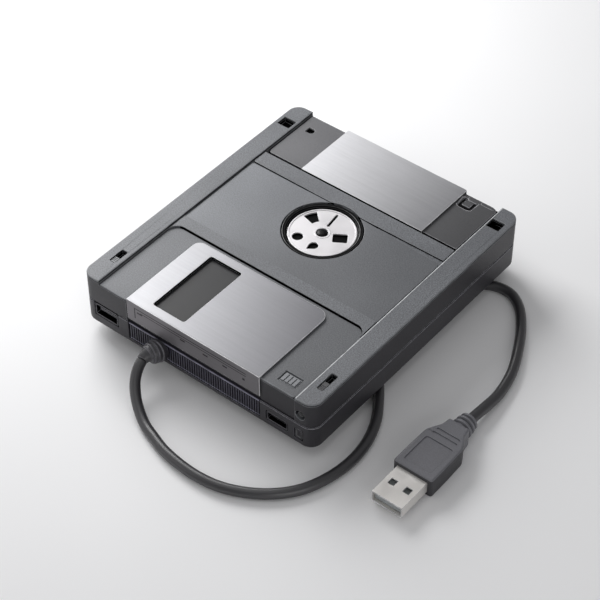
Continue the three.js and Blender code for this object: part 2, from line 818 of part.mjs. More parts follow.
// Upper shell: the lid with its rails, crossbars, panel and recesses
function upperShell() {
  const betweenRails = [-railInner, railInner];
  const up = caseHeight + overrun;
  const outside = plate(roundedRectangle([-half, half], [front, rear], cornerRadius), [
    upperBottom,
    caseHeight,
  ]);
  const inside = plate(
    roundedRectangle([-innerHalf, innerHalf], grown([front, rear], -wall), cornerRadius - wall),
    [upperBottom - overrun, lidUnderside],
  );
  const cuts = [
    plate(
      cornered(betweenRails, [front - overrun, recessRear], [0, 0, recessCorner, recessCorner]),
      [recessFloor, up],
    ),
    block(betweenRails, [recessRear - recessCorner, frontBarRear], [barTop, up]),
    block(betweenRails, [frontBarRear, panelRear], [panelTop, up]),
    block(betweenRails, [panelRear, rearBarRear], [barTop, up]),
    block(betweenRails, [rearBarRear, rear + overrun], [rearFloor, up]),
    block(
      [shutterLeft - gap, railInner],
      [front - overrun, front + faceSetBack],
      [upperBottom - overrun, up],
    ),
    block(
      [rearShutterLeft - gap, railInner],
      [rear - faceSetBack, rear + overrun],
      [bezelTop, up],
    ),
    block(
      [-bezelHalf - gap, bezelHalf + gap],
      [rear - wall - overrun, rear + overrun],
      [upperBottom - overrun, bezelTop + gap],
    ),
    turned(
      [
        [0, lidUnderside - overrun],
        [hubHoleRadius - hubLedge, lidUnderside - overrun],
        [hubHoleRadius - hubLedge, rearFloor],
        [hubHoleRadius, rearFloor],
        [hubHoleRadius, up],
        [0, up],
      ],
      0,
      hubY,
    ),
    block(
      [shutterLeft + shutterFoldMargin - gap, shutterRight - shutterFoldMargin + shutterTravel + gap],
      [shutterRear - shutterSheet - gap, shutterRear + gap],
      [recessFloor - shutterTuck, recessFloor + gap],
    ),
    block(grown(inlayXs, gap), grown(inlayYs, gap), [recessFloor - inlaySheet - gap, recessFloor + gap]),
    block(grown(markXs, gap), grown(markYs, gap), [recessFloor - inlaySheet - gap, recessFloor + gap]),
    rodAlongY(lightRadius + gap, lightX, lightHeight, throughFront, roundSides),
  ];
  for (const [, s] of sides) {
    cuts.push(
      block(
        sided(s, railInner - railGroove, railInner),
        [front - overrun, rear + overrun],
        [recessFloor - railGrooveDepth, up],
      ),
    );
  }
  for (const [x, y] of [
    [-half + leftPocketInset, rear - leftPocketFromRear],
    [half - rightPocketInset, rear - rightPocketFromRear],
  ]) {
    cuts.push(
      block(
        [x - pocketWidth / 2, x + pocketWidth / 2],
        [y - pocketLength / 2, y + pocketLength / 2],
        [caseHeight - pocketDepth, up],
      ),
    );
  }
  for (const tab of tabs) {
    cuts.push(
      block([tab.x - tabSlotWidth / 2, tab.x + tabSlotWidth / 2], tab.slot, [tabChannelZs[0], up]),
      block(
        [tab.x - tabChannelWidth / 2, tab.x + tabChannelWidth / 2],
        grown(tab.slot, tabChannelOverlap),
        tabChannelZs,
      ),
    );
  }
  const holes = [];
  const bosses = [];
  for (const [, s] of sides) {
    const x = s * frontScrewX;
    const holeTop = upperBottom + frontScrewEngagement + blindHoleRoom;
    bosses.push(rodAlongZ(upperBossRadius, x, frontScrewY, [upperBottom, recessFloor], roundSides));
    holes.push(rodAlongZ(holeRadius, x, frontScrewY, [upperBottom - overrun, holeTop]));
  }
  return cut(join(cut(outside, inside), ...bosses), ...cuts, ...holes);
}

function caseScrews() {
  for (const [side, s] of sides) {
    for (const [row, x, y, top] of [
      ["front", s * frontScrewX, frontScrewY, upperBottom + frontScrewEngagement],
      ["rear", s * rearScrewX, rearScrewY, chassisTop + rearScrewEngagement],
    ]) {
      const head = rodAlongZ(
        screwHeadRadius,
        x,
        y,
        [screwHeadSink, screwHeadSink + screwHeadHeight],
        roundSides,
      );
      const shank = rodAlongZ(screwRadius, x, y, [screwHeadSink + screwHeadHeight / 2, top]);
      addPiece(`screw_${row}_${side}`, join(head, shank), "steel");
    }
  }
}

function rubberFeet() {
  for (const [place, x, y] of feet) {
    const foot = turned(
      [
        [0, -footHeight],
        [footToeRadius, -footHeight],
        [footRadius, -gap],
        [footStubRadius, -gap],
        [footStubRadius, footStubHeight - gap],
        [0, footStubHeight - gap],
      ],
      x,
      y,
      roundSides,
    );
    addPiece(`foot_${place}`, foot, "rubber");
  }
}

// Front shutter: a plate with a window, folded over the front face and into a groove behind
function frontShutter() {
  const top = shutterBottom + shutterSheet;
  const plan = cornered(shutterXs, [shutterFront, shutterRear], [
    0,
    0,
    shutterRightCorner,
    shutterLeftCorner,
  ]);
  const foldXs = [shutterLeft + shutterFoldMargin, shutterRight - shutterFoldMargin];
  return cut(
    join(
      plate(plan, [shutterBottom, top]),
      block(shutterXs, [shutterFront, shutterFront + shutterSheet], [shutterFoldBottom, top]),
      block(foldXs, [shutterRear - shutterSheet, shutterRear], [recessFloor - shutterTuck + gap, top]),
    ),
    plate(roundedRectangle(windowXs, windowYs, windowCorner), [
      shutterBottom - overrun,
      top + overrun,
    ]),
  );
}

// Rear shutter: a plate folded down at both ends
function rearShutter() {
  const xs = [rearShutterLeft, rearShutterRight];
  const ys = [rearBarRear + gap, rearShutterRear];
  const top = rearShutterBottom + shutterSheet;
  return join(
    block(xs, ys, [rearShutterBottom, top]),
    block(xs, [ys[0], ys[0] + shutterSheet], [rearFloor + gap, top]),
    block(xs, [ys[1] - shutterSheet, ys[1]], [top - shutterSheet - rearFoldDrop, top]),
  );
}

// Rear panel: a smooth plate with a round hole on the left and a small catch on the right
function rearPanel() {
  const xs = [-railInner + railGroove + gap, railInner - railGroove - gap];
  const ys = [rearPanelFront, rear - faceSetBack - gap];
  const zs = [rearFloor + gap, rearFloor + gap + rearPanelSheet];
  const catchX = railInner - catchInset;
  const catchXs = [catchX - catchWidth / 2, catchX + catchWidth / 2];
  const catchYs = [rear - catchFromRear - catchLength / 2, rear - catchFromRear + catchLength / 2];
  const catchZs = [zs[1] - catchGrooveDepth, zs[1] + overrun];
  return cut(
    block(xs, ys, zs),
    rodAlongZ(panelHoleRadius, -railInner + panelHoleInset, rear - panelHoleFromRear, grown(zs, overrun)),
    block([catchXs[0], catchXs[0] + catchGroove], catchYs, catchZs),
    block([catchXs[1] - catchGroove, catchXs[1]], catchYs, catchZs),
    block(catchXs, [catchYs[0], catchYs[0] + catchGroove], catchZs),
  );
}

function ribbedMark() {
  const zs = [recessFloor - inlaySheet, recessFloor];
  const pitch = markWidth / markRibs;
  const grooves = [];
  for (let i = 1; i < markRibs; i += 1) {
    const x = markLeft + i * pitch;
    grooves.push(
      block([x - gap / 2, x + gap / 2], grown(markYs, overrun), [zs[1] - markRibDepth, zs[1] + overrun]),
    );
  }
  return cut(block(markXs, markYs, zs), ...grooves);
}

// Vent grille: upright fins on a thin plate, with the hole of the strain relief's neck
function ventGrille() {
  const back = [front + inset + finDepth, front + inset + finDepth + grilleSheet];
  const count = Math.floor((grilleRight - grilleLeft - finWidth) / finPitch) + 1;
  const start = (grilleLeft + grilleRight - (count - 1) * finPitch) / 2;
  const fins = [];
  for (let i = 0; i < count; i += 1) {
    const x = start + i * finPitch;
    fins.push(
      block([x - finWidth / 2, x + finWidth / 2], [front + inset, back[0] + grilleSheet / 2], [
        grilleZs[0],
        grilleZs[1] - finWidth,
      ]),
    );
  }
  const ledge = block(grilleXs, [front + inset, back[1]], [grilleZs[1] - finWidth * 2, grilleZs[1]]);
  return cut(
    join(block(grilleXs, back, grilleZs), ledge, ...fins),
    rodAlongY(neckRadius + gap, cordX, cordHeight, throughFront, roundSides),
  );
}

// A socket in the front face: a frame with a contact tongue inside
function socket(xs, zs, length) {
  const ys = [front + inset, front + inset + length];
  const middle = (zs[0] + zs[1]) / 2;
  return join(
    cut(
      block(xs, ys, zs),
      block(grown(xs, -portWall), [ys[0] - overrun, ys[1] - wall], grown(zs, -portWall)),
    ),
    block(
      grown(xs, -portWall * 2),
      [ys[0] + portWall, ys[1] - wall / 2],
      [middle - portTongue / 2, middle + portTongue / 2],
    ),
  );
}

function leftPort() {
  const foot = block(
    leftPortXs,
    [front + interfaceFromFront + gap, front + inset + leftPortLength],
    [boardTop + gap, leftPortBottom + portWall],
  );
  return join(socket(leftPortXs, leftPortZs, leftPortLength), foot);
}

function rightPort() {
  const wings = block(
    grown(rightPortXs, rightPortWing),
    [front + interfaceFromFront + gap, front + inset + rightPortLength],
    [boardTop + gap, boardTop + gap + portWall],
  );
  const inside = block(
    grown(rightPortXs, -portWall),
    [front, front + inset + rightPortLength - wall],
    grown(rightPortZs, -portWall),
  );
  return join(socket(rightPortXs, rightPortZs, rightPortLength), cut(wings, inside));
}

// Lens in the front face, with the pipe behind it and the post that ends over the lamp on the board
function lightPipe() {
  const switchRear = front + inset + setupLength + setupTravel + gap + setupSwitchLength;
  const postYs = [switchRear + gap, switchRear + gap + lightPostLength];
  return join(
    rodAlongY(lightRadius, lightX, lightHeight, [front + inset, postYs[1]], roundSides),
    block(
      [lightX - lightPostWidth / 2, lightX + lightPostWidth / 2],
      postYs,
      [boardTop + gap, lightHeight],
    ),
  );
}

function setupButton() {
  const flangeYs = [innerFront + gap, innerFront + gap + setupFlangeThickness];
  return join(
    block(setupXs, [front + inset, front + inset + setupLength], setupZs),
    block(grown(setupXs, setupFlange), flangeYs, [floorThickness + gap, setupZs[1] + setupFlange]),
  );
}

function setupSwitch() {
  const switchFront = front + inset + setupLength + setupTravel + gap;
  return block(
    grown(setupXs, setupFlange),
    [switchFront, switchFront + setupSwitchLength],
    [boardTop + gap, boardTop + gap + setupSwitchHeight],
  );
}

function slidingTab({ x, slot, length }) {
  const ys = [slot[0] + gap, slot[0] + gap + length];
  const flangeZs = [tabChannelZs[0] + gap, tabChannelZs[0] + gap + tabFlangeHeight];
  return join(
    block([x - tabChannelWidth / 2 + gap, x + tabChannelWidth / 2 - gap], grown(ys, gap), flangeZs),
    block([x - tabSlotWidth / 2 + gap, x + tabSlotWidth / 2 - gap], ys, [
      flangeZs[0],
      caseHeight - tabSink,
    ]),
  );
}

// Lid hub: a fixed dish, its pin, and the pierced disc that turns on it
const dishInner = hubDiscRadius + gap;
const dishFloorTop = lidUnderside - runningGap + hubFloor;
const discZs = [dishFloorTop + gap, dishFloorTop + gap + hubDiscSheet];

function hubRing() {
  const outer = hubHoleRadius - gap;
  const neck = hubHoleRadius - hubLedge - gap;
  const bottom = lidUnderside - runningGap;
  return turned(
    [
      [hubPinRadius + gap, bottom],
      [neck, bottom],
      [neck, rearFloor + gap],
      [outer, rearFloor + gap],
      [outer, panelTop - inset],
      [dishInner, panelTop - inset],
      [dishInner, dishFloorTop],
      [hubPinRadius + gap, dishFloorTop],
    ],
    0,
    hubY,
  );
}

function polar(radius, angle) {
  return [radius * Math.cos(angle), radius * Math.sin(angle)];
}

function hubDisc() {
  const shape = new THREE.Shape();
  shape.absarc(0, 0, hubDiscRadius, 0, Math.PI * 2);
  const shaftHole = new THREE.Path();
  shaftHole.absarc(0, 0, hubPinRadius + gap, 0, Math.PI * 2);
  const segment = new THREE.Path();
  segment.absarc(0, 0, hubSegmentOuter, hubSegmentFrom, hubSegmentTo);
  segment.absarc(0, 0, hubSegmentInner, hubSegmentTo, hubSegmentFrom, true);
  segment.closePath();
  const round = new THREE.Path();
  round.absarc(...polar(hubRoundDistance, hubRoundAngle), hubRoundRadius, 0, Math.PI * 2);
  shape.holes.push(shaftHole, segment, slitHole(), keyHole(), round, dropHole());
  const geometry = new THREE.ExtrudeGeometry(shape, {
    depth: hubDiscSheet,
    bevelEnabled: false,
    curveSegments: smallSides,
  });
  geometry.translate(0, hubY, discZs[0]);
  const rim = turned(
    [
      [hubDiscRadius - hubRimWidth, discZs[0] + hubRim],
      [hubDiscRadius - hubRim / 2, discZs[0] + hubRim],
      [hubDiscRadius - hubRim / 2, discZs[1] + hubRim],
      [hubDiscRadius - hubRimWidth, discZs[1] + hubRim],
    ],
    0,
    hubY,
  );
  return join(solidOf(geometry), rim);
}

function pathThrough(points) {
  const path = new THREE.Path();
  path.setFromPoints(points.map(([x, y]) => new THREE.Vector2(x, y)));
  path.closePath();
  return path;
}

// The corners of a rectangle about a point, turned.
function turnedRectangle([x, y], width, length, turn) {
  return [
    [-1, -1],
    [1, -1],
    [1, 1],
    [-1, 1],
  ].map(([u, v]) => {
    const [a, b] = [(u * width) / 2, (v * length) / 2];
    return [
      x + a * Math.cos(turn) - b * Math.sin(turn),
      y + a * Math.sin(turn) + b * Math.cos(turn),
    ];
  });
}

function slitHole() {
  const middle = polar((hubSlitFrom + hubSlitTo) / 2, hubSlitAngle);
  return pathThrough(turnedRectangle(middle, hubSlitTo - hubSlitFrom, hubSlitWidth, hubSlitAngle));
}

function keyHole() {
  return pathThrough(
    turnedRectangle(polar(hubKeyRadius, hubKeyAngle), hubKeyWidth, hubKeyLength, hubKeyTurn),
  );
}

function dropHole() {
  const [x, y] = polar(hubDropDistance, hubDropAngle);
  const [tipX, tipY] = polar(hubDropTip, hubDropTurn);
  const path = new THREE.Path();
  const spread = Math.acos(hubDropRadius / hubDropTip);
  path.moveTo(x + tipX, y + tipY);
  path.absarc(x, y, hubDropRadius, hubDropTurn + spread, hubDropTurn - spread + Math.PI * 2);
  path.closePath();
  return path;
}

function hubPin() {
  return rodAlongZ(
    hubPinRadius,
    0,
    hubY,
    [lidUnderside - runningGap, discZs[1] + hubPinRise],
    roundSides,
  );
}

// Rear bezel: the disk slot, the button's hole, and the lugs of the dust flap
const slotHalf = holderHalf + slotSideRoom;
const flapAxis = { y: bezelInner - flapBarrel, z: bayTop + flapBarrel / 2 + gap / 2 };
const flapHalf = slotHalf - gap;

function rearBezel() {
  const bezelZs = [bezelBottom, bezelTop];
  const lugs = [];
  const axleHoles = [];
  for (const [, s] of sides) {
    const lugXs = sided(s, bezelHalf - flapLugWidth, bezelHalf);
    lugs.push(
      block(lugXs, [flapAxis.y - flapLug, bezelInner + bezelThickness / 2], [
        flapAxis.z - flapLug,
        bezelTop,
      ]),
    );
    axleHoles.push(rodAlongX(flapAxle + gap, flapAxis.y, flapAxis.z, grown(lugXs, overrun)));
  }
  const slots = [
    block([-slotHalf, slotHalf], [bezelInner - overrun, rear + overrun], [bayBottom, bayTop]),
    block(grown(buttonXs, gap), [bezelInner - overrun, rear + overrun], grown(buttonZs, gap)),
  ];
  const panel = cut(block([-bezelHalf, bezelHalf], [bezelInner, rear], bezelZs), ...slots);
  return cut(join(panel, ...lugs), ...axleHoles);
}

function dustFlap() {
  const leafFront = flapAxis.y + flapBarrel - gap - flapSheet;
  return join(
    rodAlongX(flapBarrel - gap / 2, flapAxis.y, flapAxis.z, [
      -bezelHalf + flapLugWidth + flapSideRoom,
      bezelHalf - flapLugWidth - flapSideRoom,
    ]),
    rodAlongX(flapAxle, flapAxis.y, flapAxis.z, [-bezelHalf + gap / 2, bezelHalf - gap / 2]),
    block([-flapHalf + flapSideRoom, flapHalf - flapSideRoom], [leafFront, leafFront + flapSheet], [
      bayBottom + gap / 2,
      flapAxis.z,
    ]),
  );
}

function ejectButton() {
  return block(buttonXs, [rear + buttonProud - buttonLength, rear + buttonProud], buttonZs);
}

// Chassis: a tray with side walls, lugs for the rod and the screw, a motor bracket and posts
const chassisXs = [-chassisHalf - chassisSheet, chassisHalf + chassisSheet];
const chassisRear = rear - chassisFromRear;
const wideFront = front + chassisWideFromFront;
const runEnd = diskFront + runEndFromDisk;
const motorFront = front + motorFromFront;
const motorRear = motorFront + motorLength;
const springYs = [diskFront - sliderLead - gap - springLength, diskFront - sliderLead - gap];
const springZ = (sliderBottom + sliderTop) / 2 - springSink;
const springPostY = springYs[0] - gap - postRadius;
const latchY = front + latchFromFront;
const latchZs = [bayTop - latchBelowBayTop - latchThickness, bayTop - latchBelowBayTop];

function chassis() {
  const zs = [chassisBottom, chassisTop];
  const baseZs = [chassisTop - chassisSheet / 2, chassisTop];
  const rodZs = [baseZs[0], rodAxisHeight + lugHalf];
  const parts = [
    block([-chassisFrontHalf, chassisFrontHalf], [front + chassisFrontFromFront, wideFront + overrun], zs),
    block([tongueLeft, tongueRight], [front + tongueFromFront, wideFront], zs),
    block([rodX - lugHalf, rodX + lugHalf], [front + rodFrontLug, front + rodFrontLug + lugThickness], rodZs),
    block([rodX - lugHalf, rodX + lugHalf], [runEnd, runEnd + lugThickness], rodZs),
    block([screwX - lugHalf, screwX + lugHalf], [runEnd, runEnd + lugThickness], rodZs),
    block(
      [screwX - bracketHalf, screwX + bracketHalf],
      [motorRear + gap, motorRear + gap + lugThickness],
      [baseZs[0], bracketTop],
    ),
    rodAlongZ(postRadius, latchX, latchY, [baseZs[0], latchZs[1] + gap]),
    rodAlongZ(latchHub, latchX, latchY, [baseZs[0], latchZs[0] - gap]),
  ];
  const cuts = [
    rodAlongZ(rotorRadius + rotorRoom, 0, spindleY, grown(zs, overrun), wideSides),
    block(
      [screwX - bracketHalf, screwX + bracketHalf],
      [front, motorRear + gap],
      grown(zs, overrun),
    ),
    rodAlongY(rodRadius + gap, rodX, rodAxisHeight, [front + rodFrontLug - overrun, runEnd + wall]),
    rodAlongY(leadRadius + gap, screwX, rodAxisHeight, [motorRear, runEnd + wall]),
  ];
  for (const [, s] of sides) {
    parts.push(rodAlongZ(postRadius, s * springX, springPostY, [baseZs[0], springZ + springRadius / 2]));
    cuts.push(rodAlongZ(holeRadius, s * rearScrewX, rearScrewY, grown(zs, overrun)));
    for (const y of pinYs) {
      cuts.push(
        slotAlongX(
          pinRadius + gap,
          [y, pinZ - holderDrop],
          [y, pinZ],
          sided(s, chassisHalf - runningGap / 2, innerHalf),
        ),
      );
    }
  }
  const tray = cut(
    block(chassisXs, [wideFront, chassisRear], [chassisBottom, chassisWallTop]),
    block([-chassisHalf, chassisHalf], [wideFront - overrun, chassisRear + overrun], [
      chassisTop,
      chassisWallTop + overrun,
    ]),
  );
  return cut(join(tray, ...parts), ...cuts);
}

// Disk holder: a cage with lips below, a plate above and guide pins at its sides
function diskHolder() {
  const outer = holderHalf + holderSheet;
  const ys = [diskFront, rear - rearRoom - holderTrim];
  const cage = cut(
    block([-outer, outer], ys, [lipBottom, holderTop]),
    block([-holderHalf, holderHalf], grown(ys, overrun), [bayBottom, bayTop]),
    block([-holderHalf + lipWidth, holderHalf - lipWidth], grown(ys, overrun), [
      lipBottom - overrun,
      bayBottom + overrun,
    ]),
    block([-armSlotHalf, armSlotHalf], [diskFront - overrun, diskFront + armSlotLength], [
      bayTop - overrun,
      holderTop + overrun,
    ]),
    block(
      [-windowHalf, windowHalf],
      [spindleY - holderWindowLength / 2, spindleY + holderWindowLength / 2],
      [bayTop - overrun, holderTop + overrun],
    ),
  );
  const pins = [];
  for (const [, s] of sides) {
    const xs = sided(s, holderHalf + holderSheet / 2, chassisHalf + chassisSheet + pinProud);
    for (const y of pinYs) {
      pins.push(rodAlongX(pinRadius, y, pinZ, xs));
    }
  }
  return join(cage, ...pins);
}

// Eject slider: a plate whose side flanges carry the slanted slots, and the stem behind the button
function ejectSlider() {
  const outer = sliderHalf + sliderSheet;
  const ys = [diskFront - sliderLead, rear - sliderTrim];
  const flangeBottom = pinZ - flangeBelowPin;
  const top = cut(
    block([-outer, outer], ys, [flangeBottom, sliderTop]),
    block([-sliderHalf, sliderHalf], grown(ys, overrun), [flangeBottom - overrun, sliderBottom]),
    block([-sliderArmSlotHalf, sliderArmSlotHalf], [ys[0] - overrun, ys[0] + sliderArmSlotLength], [
      sliderBottom - overrun,
      sliderTop + overrun,
    ]),
    block(
      [-windowHalf, windowHalf],
      [spindleY - sliderWindowLength / 2, spindleY + sliderWindowLength / 2],
      [sliderBottom - overrun, sliderTop + overrun],
    ),
  );
  const slots = [];
  for (const [, s] of sides) {
    for (const y of pinYs) {
      slots.push(
        slotAlongX(
          pinRadius + gap,
          [y - slideTravel, pinZ - holderDrop],
          [y, pinZ],
          sided(s, sliderHalf - runningGap / 2, outer + runningGap / 2),
        ),
      );
    }
  }
  const stemRear = rear + buttonProud - buttonLength - gap;
  const stemZs = [chassisTop + gap, chassisTop + gap + stemHeight];
  const leg = block(
    [sliderHalf, outer],
    [stemRear - stemFootLength, ys[1]],
    [stemZs[0], flangeBottom + overrun],
  );
  const foot = block([sliderHalf, outer], [stemRear - stemFootLength, stemRear], stemZs);
  const stem = block([outer - stemWidth, outer], [stemRear - stemLength, stemRear], stemZs);
  return join(cut(top, ...slots), leg, foot, stem);
}

function springs() {
  for (const [side, s] of sides) {
    addPiece(
      `eject_spring_${side}`,
      rodAlongY(springRadius, s * springX, springZ, springYs),
      "steel",
    );
  }
}

// Latch lever on its post, in front of the disk's leading edge
function latchLever() {
  const arm = new THREE.BoxGeometry(latchReach, latchWidth, latchThickness);
  arm.translate(latchReach / 2, 0, 0);
  arm.rotateZ(latchAngle);
  arm.translate(latchX, latchY, (latchZs[0] + latchZs[1]) / 2);
  return cut(
    join(rodAlongZ(latchHub, latchX, latchY, latchZs, roundSides), solidOf(arm)),
    rodAlongZ(postRadius + gap, latchX, latchY, grown(latchZs, overrun)),
  );
}

// Spindle motor
const rotorBottom = boardTop + rotorLift;
const rotorTop = rotorBottom + rotorHeight;
const chuckTop = rotorTop + chuckHeight;
const rotorCeiling = rotorTop - rotorWall + gap / 2;

function spindleRotor() {
  const bore = shaftRadius + gap;
  const cup = turned(
    [
      [bore, rotorCeiling],
      [rotorRadius - rotorWall, rotorCeiling],
      [rotorRadius - rotorWall, rotorBottom],
      [rotorRadius, rotorBottom],
      [rotorRadius, rotorTop],
      [chuckRadius, rotorTop],
      [chuckRadius, chuckTop],
      [bore, chuckTop],
    ],
    0,
    spindleY,
  );
  const pinZs = [chuckTop - chuckHeight / 2, chuckTop + drivePinRise];
  return join(cup, rodAlongZ(drivePinRadius, drivePinDistance, spindleY, pinZs));
}

function spindleShaft() {
  return rodAlongZ(shaftRadius, 0, spindleY, [boardTop + gap, chuckTop + shaftRise], roundSides);
}

function spindleBearing() {
  const zs = [boardTop + gap, rotorCeiling - gap];
  return cut(
    rodAlongZ(bearingRadius, 0, spindleY, zs, roundSides),
    rodAlongZ(shaftRadius + gap, 0, spindleY, grown(zs, overrun), roundSides),
  );
}

function motorStator() {
  const zs = [boardTop + gap, rotorCeiling - gap];
  const core = cut(
    rodAlongZ(statorCore, 0, spindleY, zs, roundSides),
    rodAlongZ(statorInner, 0, spindleY, grown(zs, overrun), roundSides),
  );
  const poles = [];
  for (let i = 0; i < statorPoles; i += 1) {
    const angle = (i / statorPoles) * Math.PI * 2;
    const shape = new THREE.Shape();
    const inner = (statorInner + statorCore) / 2;
    shape.absarc(0, 0, statorRadius, angle - poleHalfAngle, angle + poleHalfAngle);
    shape.absarc(0, 0, inner, angle + poleHalfAngle, angle - poleHalfAngle, true);
    const geometry = new THREE.ExtrudeGeometry(shape, {
      depth: zs[1] - zs[0],
      bevelEnabled: false,
      curveSegments: 1,
    });
    geometry.translate(0, spindleY, zs[0]);
    poles.push(solidOf(geometry));
  }
  return join(core, ...poles);
}

// Head carriage: a block on the guide rod, its lower arm, the nut's arm and the hinge ears
const headY = spindleY - trackRadius;
const blockYs = [front + blockFromFront, front + blockFromFront + blockLength];
const hingeY = front + hingeFromFront;
const hingeZ = lidUnderside - hingeDrop;
const armTipY = headY + armPastHead;
const lowerArmTop = carriageBottom + lowerArmHeight;

function headCarriage() {
  const nutYs = [front + nutFromFront, front + nutFromFront + nutLength];
  const bushYs = [front + bushFromFront, front + bushFromFront + bushLength];
  const parts = [
    block([-carriageHalf, carriageHalf], blockYs, [carriageBottom, hingeZ - knuckleRadius - runningGap]),
    block([-lowerArmHalf, lowerArmHalf], [blockYs[0] + wall, armTipY], [carriageBottom, lowerArmTop]),
    block([screwX - nutWidth / 2, -lowerArmHalf + gap], nutYs, [carriageBottom, carriageBottom + bushHeight]),
    block([carriageHalf - gap, carriageHalf + bushWidth], bushYs, [
      carriageBottom,
      carriageBottom + bushHeight,
    ]),
    rodAlongX(hingePinRadius, hingeY, hingeZ, [-carriageHalf + gap, carriageHalf - gap]),
  ];
  for (const [, s] of sides) {
    parts.push(
      block(
        sided(s, carriageHalf - earWidth, carriageHalf),
        [hingeY - knuckleRadius, hingeY + knuckleRadius],
        [carriageBottom, hingeZ + knuckleRadius],
      ),
    );
  }
  return cut(
    join(...parts),
    rodAlongY(rodRadius + gap, rodX, rodAxisHeight, grown(bushYs, overrun)),
    rodAlongY(leadRadius + gap, screwX, rodAxisHeight, grown(nutYs, overrun)),
  );
}

function headArm() {
  const knuckleHalf = carriageHalf - earWidth - gap;
  const armZs = [hingeZ + armLift, hingeZ + armLift + armSheet];
  const halfWindow = headSize / 2 + gap;
  return cut(
    join(
      rodAlongX(knuckleRadius, hingeY, hingeZ, [-knuckleHalf, knuckleHalf], roundSides),
      block([-armHalf, armHalf], [hingeY, armTipY], armZs),
    ),
    rodAlongX(hingePinRadius + gap, hingeY, hingeZ, [-carriageHalf, carriageHalf]),
    block([-halfWindow, halfWindow], [headY - halfWindow, headY + halfWindow], grown(armZs, overrun)),
  );
}

function head(zs) {
  const reach = headSize / 2;
  return block([-reach, reach], [headY - reach, headY + reach], zs);
}

function leadScrew() {
  return rodAlongY(leadRadius, screwX, rodAxisHeight, [motorRear + gap, runEnd + lugThickness]);
}

function guideRod() {
  return rodAlongY(rodRadius, rodX, rodAxisHeight, [front + rodFrontLug, runEnd + lugThickness]);
}

function stepperMotor() {
  return rodAlongY(motorRadius, screwX, rodAxisHeight, [motorFront, motorRear], roundSides);
}

// Boards and what stands on them
const boardHalf = innerHalf - boardSideRoom;
const boardZs = [boardBottom, boardTop];
const chipZs = [boardTop + gap, boardTop + gap + chipThickness];

function interfaceBoard() {
  const ys = [front + interfaceFromFront, front + interfaceFromFront + interfaceLength];
  const bossRoom = lowerBossRadius + gap;
  const notches = [
    block(
      [screwX - bracketHalf, screwX + bracketHalf],
      [ys[0] - overrun, motorRear + gap + lugThickness],
      grown(boardZs, overrun),
    ),
    block(
      grown(rightPortXs, gap),
      [ys[0] - overrun, front + inset + rightPortLength + gap],
      grown(boardZs, overrun),
    ),
  ];
  for (const [, s] of sides) {
    notches.push(rodAlongZ(bossRoom, s * frontScrewX, frontScrewY, grown(boardZs, overrun), roundSides));
    notches.push(
      block(
        sided(s, frontScrewX, half),
        [frontScrewY - bossRoom, frontScrewY + bossRoom],
        grown(boardZs, overrun),
      ),
    );
  }
  return cut(block([-boardHalf, boardHalf], ys, boardZs), ...notches);
}

function mainBoard() {
  return block([-boardHalf, boardHalf], [front + mainFromFront, rear - mainFromRear], boardZs);
}

function chip(x, y, size) {
  return block([x - size / 2, x + size / 2], [y - size / 2, y + size / 2], chipZs);
}

function ribbonCable() {
  const y = front + ribbonFromFront;
  return block(
    [ribbonX - ribbonWidth / 2, ribbonX + ribbonWidth / 2],
    [y - ribbonHalf, y + ribbonHalf],
    [boardTop + gap, boardTop + gap + ribbonSheet],
  );
}

function trackSensor() {
  const ys = [front + sensorFromFront - sensorLength, front + sensorFromFront];
  const top = boardTop + gap + sensorHeight;
  return cut(
    block([sensorX - sensorWidth / 2, sensorX + sensorWidth / 2], ys, [boardTop + gap, top]),
    block([sensorX - sensorSlot / 2, sensorX + sensorSlot / 2], grown(ys, overrun), [
      top - sensorHeight / 2,
      top + overrun,
    ]),
  );
}

function diskSwitch() {
  const y = rear - diskSwitchFromRear;
  const xs = [diskSwitchX - diskSwitchSize / 2, diskSwitchX + diskSwitchSize / 2];
  const top = chassisTop + gap + diskSwitchHeight;
  return join(
    block(xs, [y - diskSwitchSize / 2, y + diskSwitchSize / 2], [chassisTop + gap, top]),
    rodAlongZ(plungerRadius, diskSwitchX, y, [top - gap, top + plungerRise]),
  );
}

// Cord: the socket inside, the strain relief in the front face, the cord and its plug
const collarYs = [front + collarFromFront, front + collarFromFront + collarThickness];

function cableSocket() {
  const ys = [front + socketFromFront, front + socketFromFront + socketLength];
  return join(
    block([cordX - socketWidth / 2, cordX + socketWidth / 2], ys, [
      boardTop + gap,
      boardTop + gap + socketHeight,
    ]),
    rodAlongY(cordRadius, cordX, cordHeight, [collarYs[1] + gap, ys[0] + socketLength / 2]),
  );
}

function strainRelief() {
  const baseFace = front - gap / 2;
  const start = new THREE.Vector3(cordX, baseFace - bootBaseLength, cordHeight);
  const end = new THREE.Vector3(cordX - bootLean, front - bootReach, cordHeight - bootDrop);
  const route = new THREE.CubicBezierCurve3(
    start,
    new THREE.Vector3(cordX, start.y - bootReach / 3, cordHeight + bootHump / 2),
    new THREE.Vector3(end.x - bootLean / 4, end.y + bootReach / 3, cordHeight + bootHump),
    end,
  );
  return join(
    rodAlongY(collarRadius, cordX, cordHeight, collarYs, roundSides),
    rodAlongY(neckRadius, cordX, cordHeight, [start.y, collarYs[1]], roundSides),
    rodAlongY(bootStageShares[0][1], cordX, cordHeight, [start.y - gap, baseFace], roundSides),
    sweptRound(route, bootStageShares),
  );
}

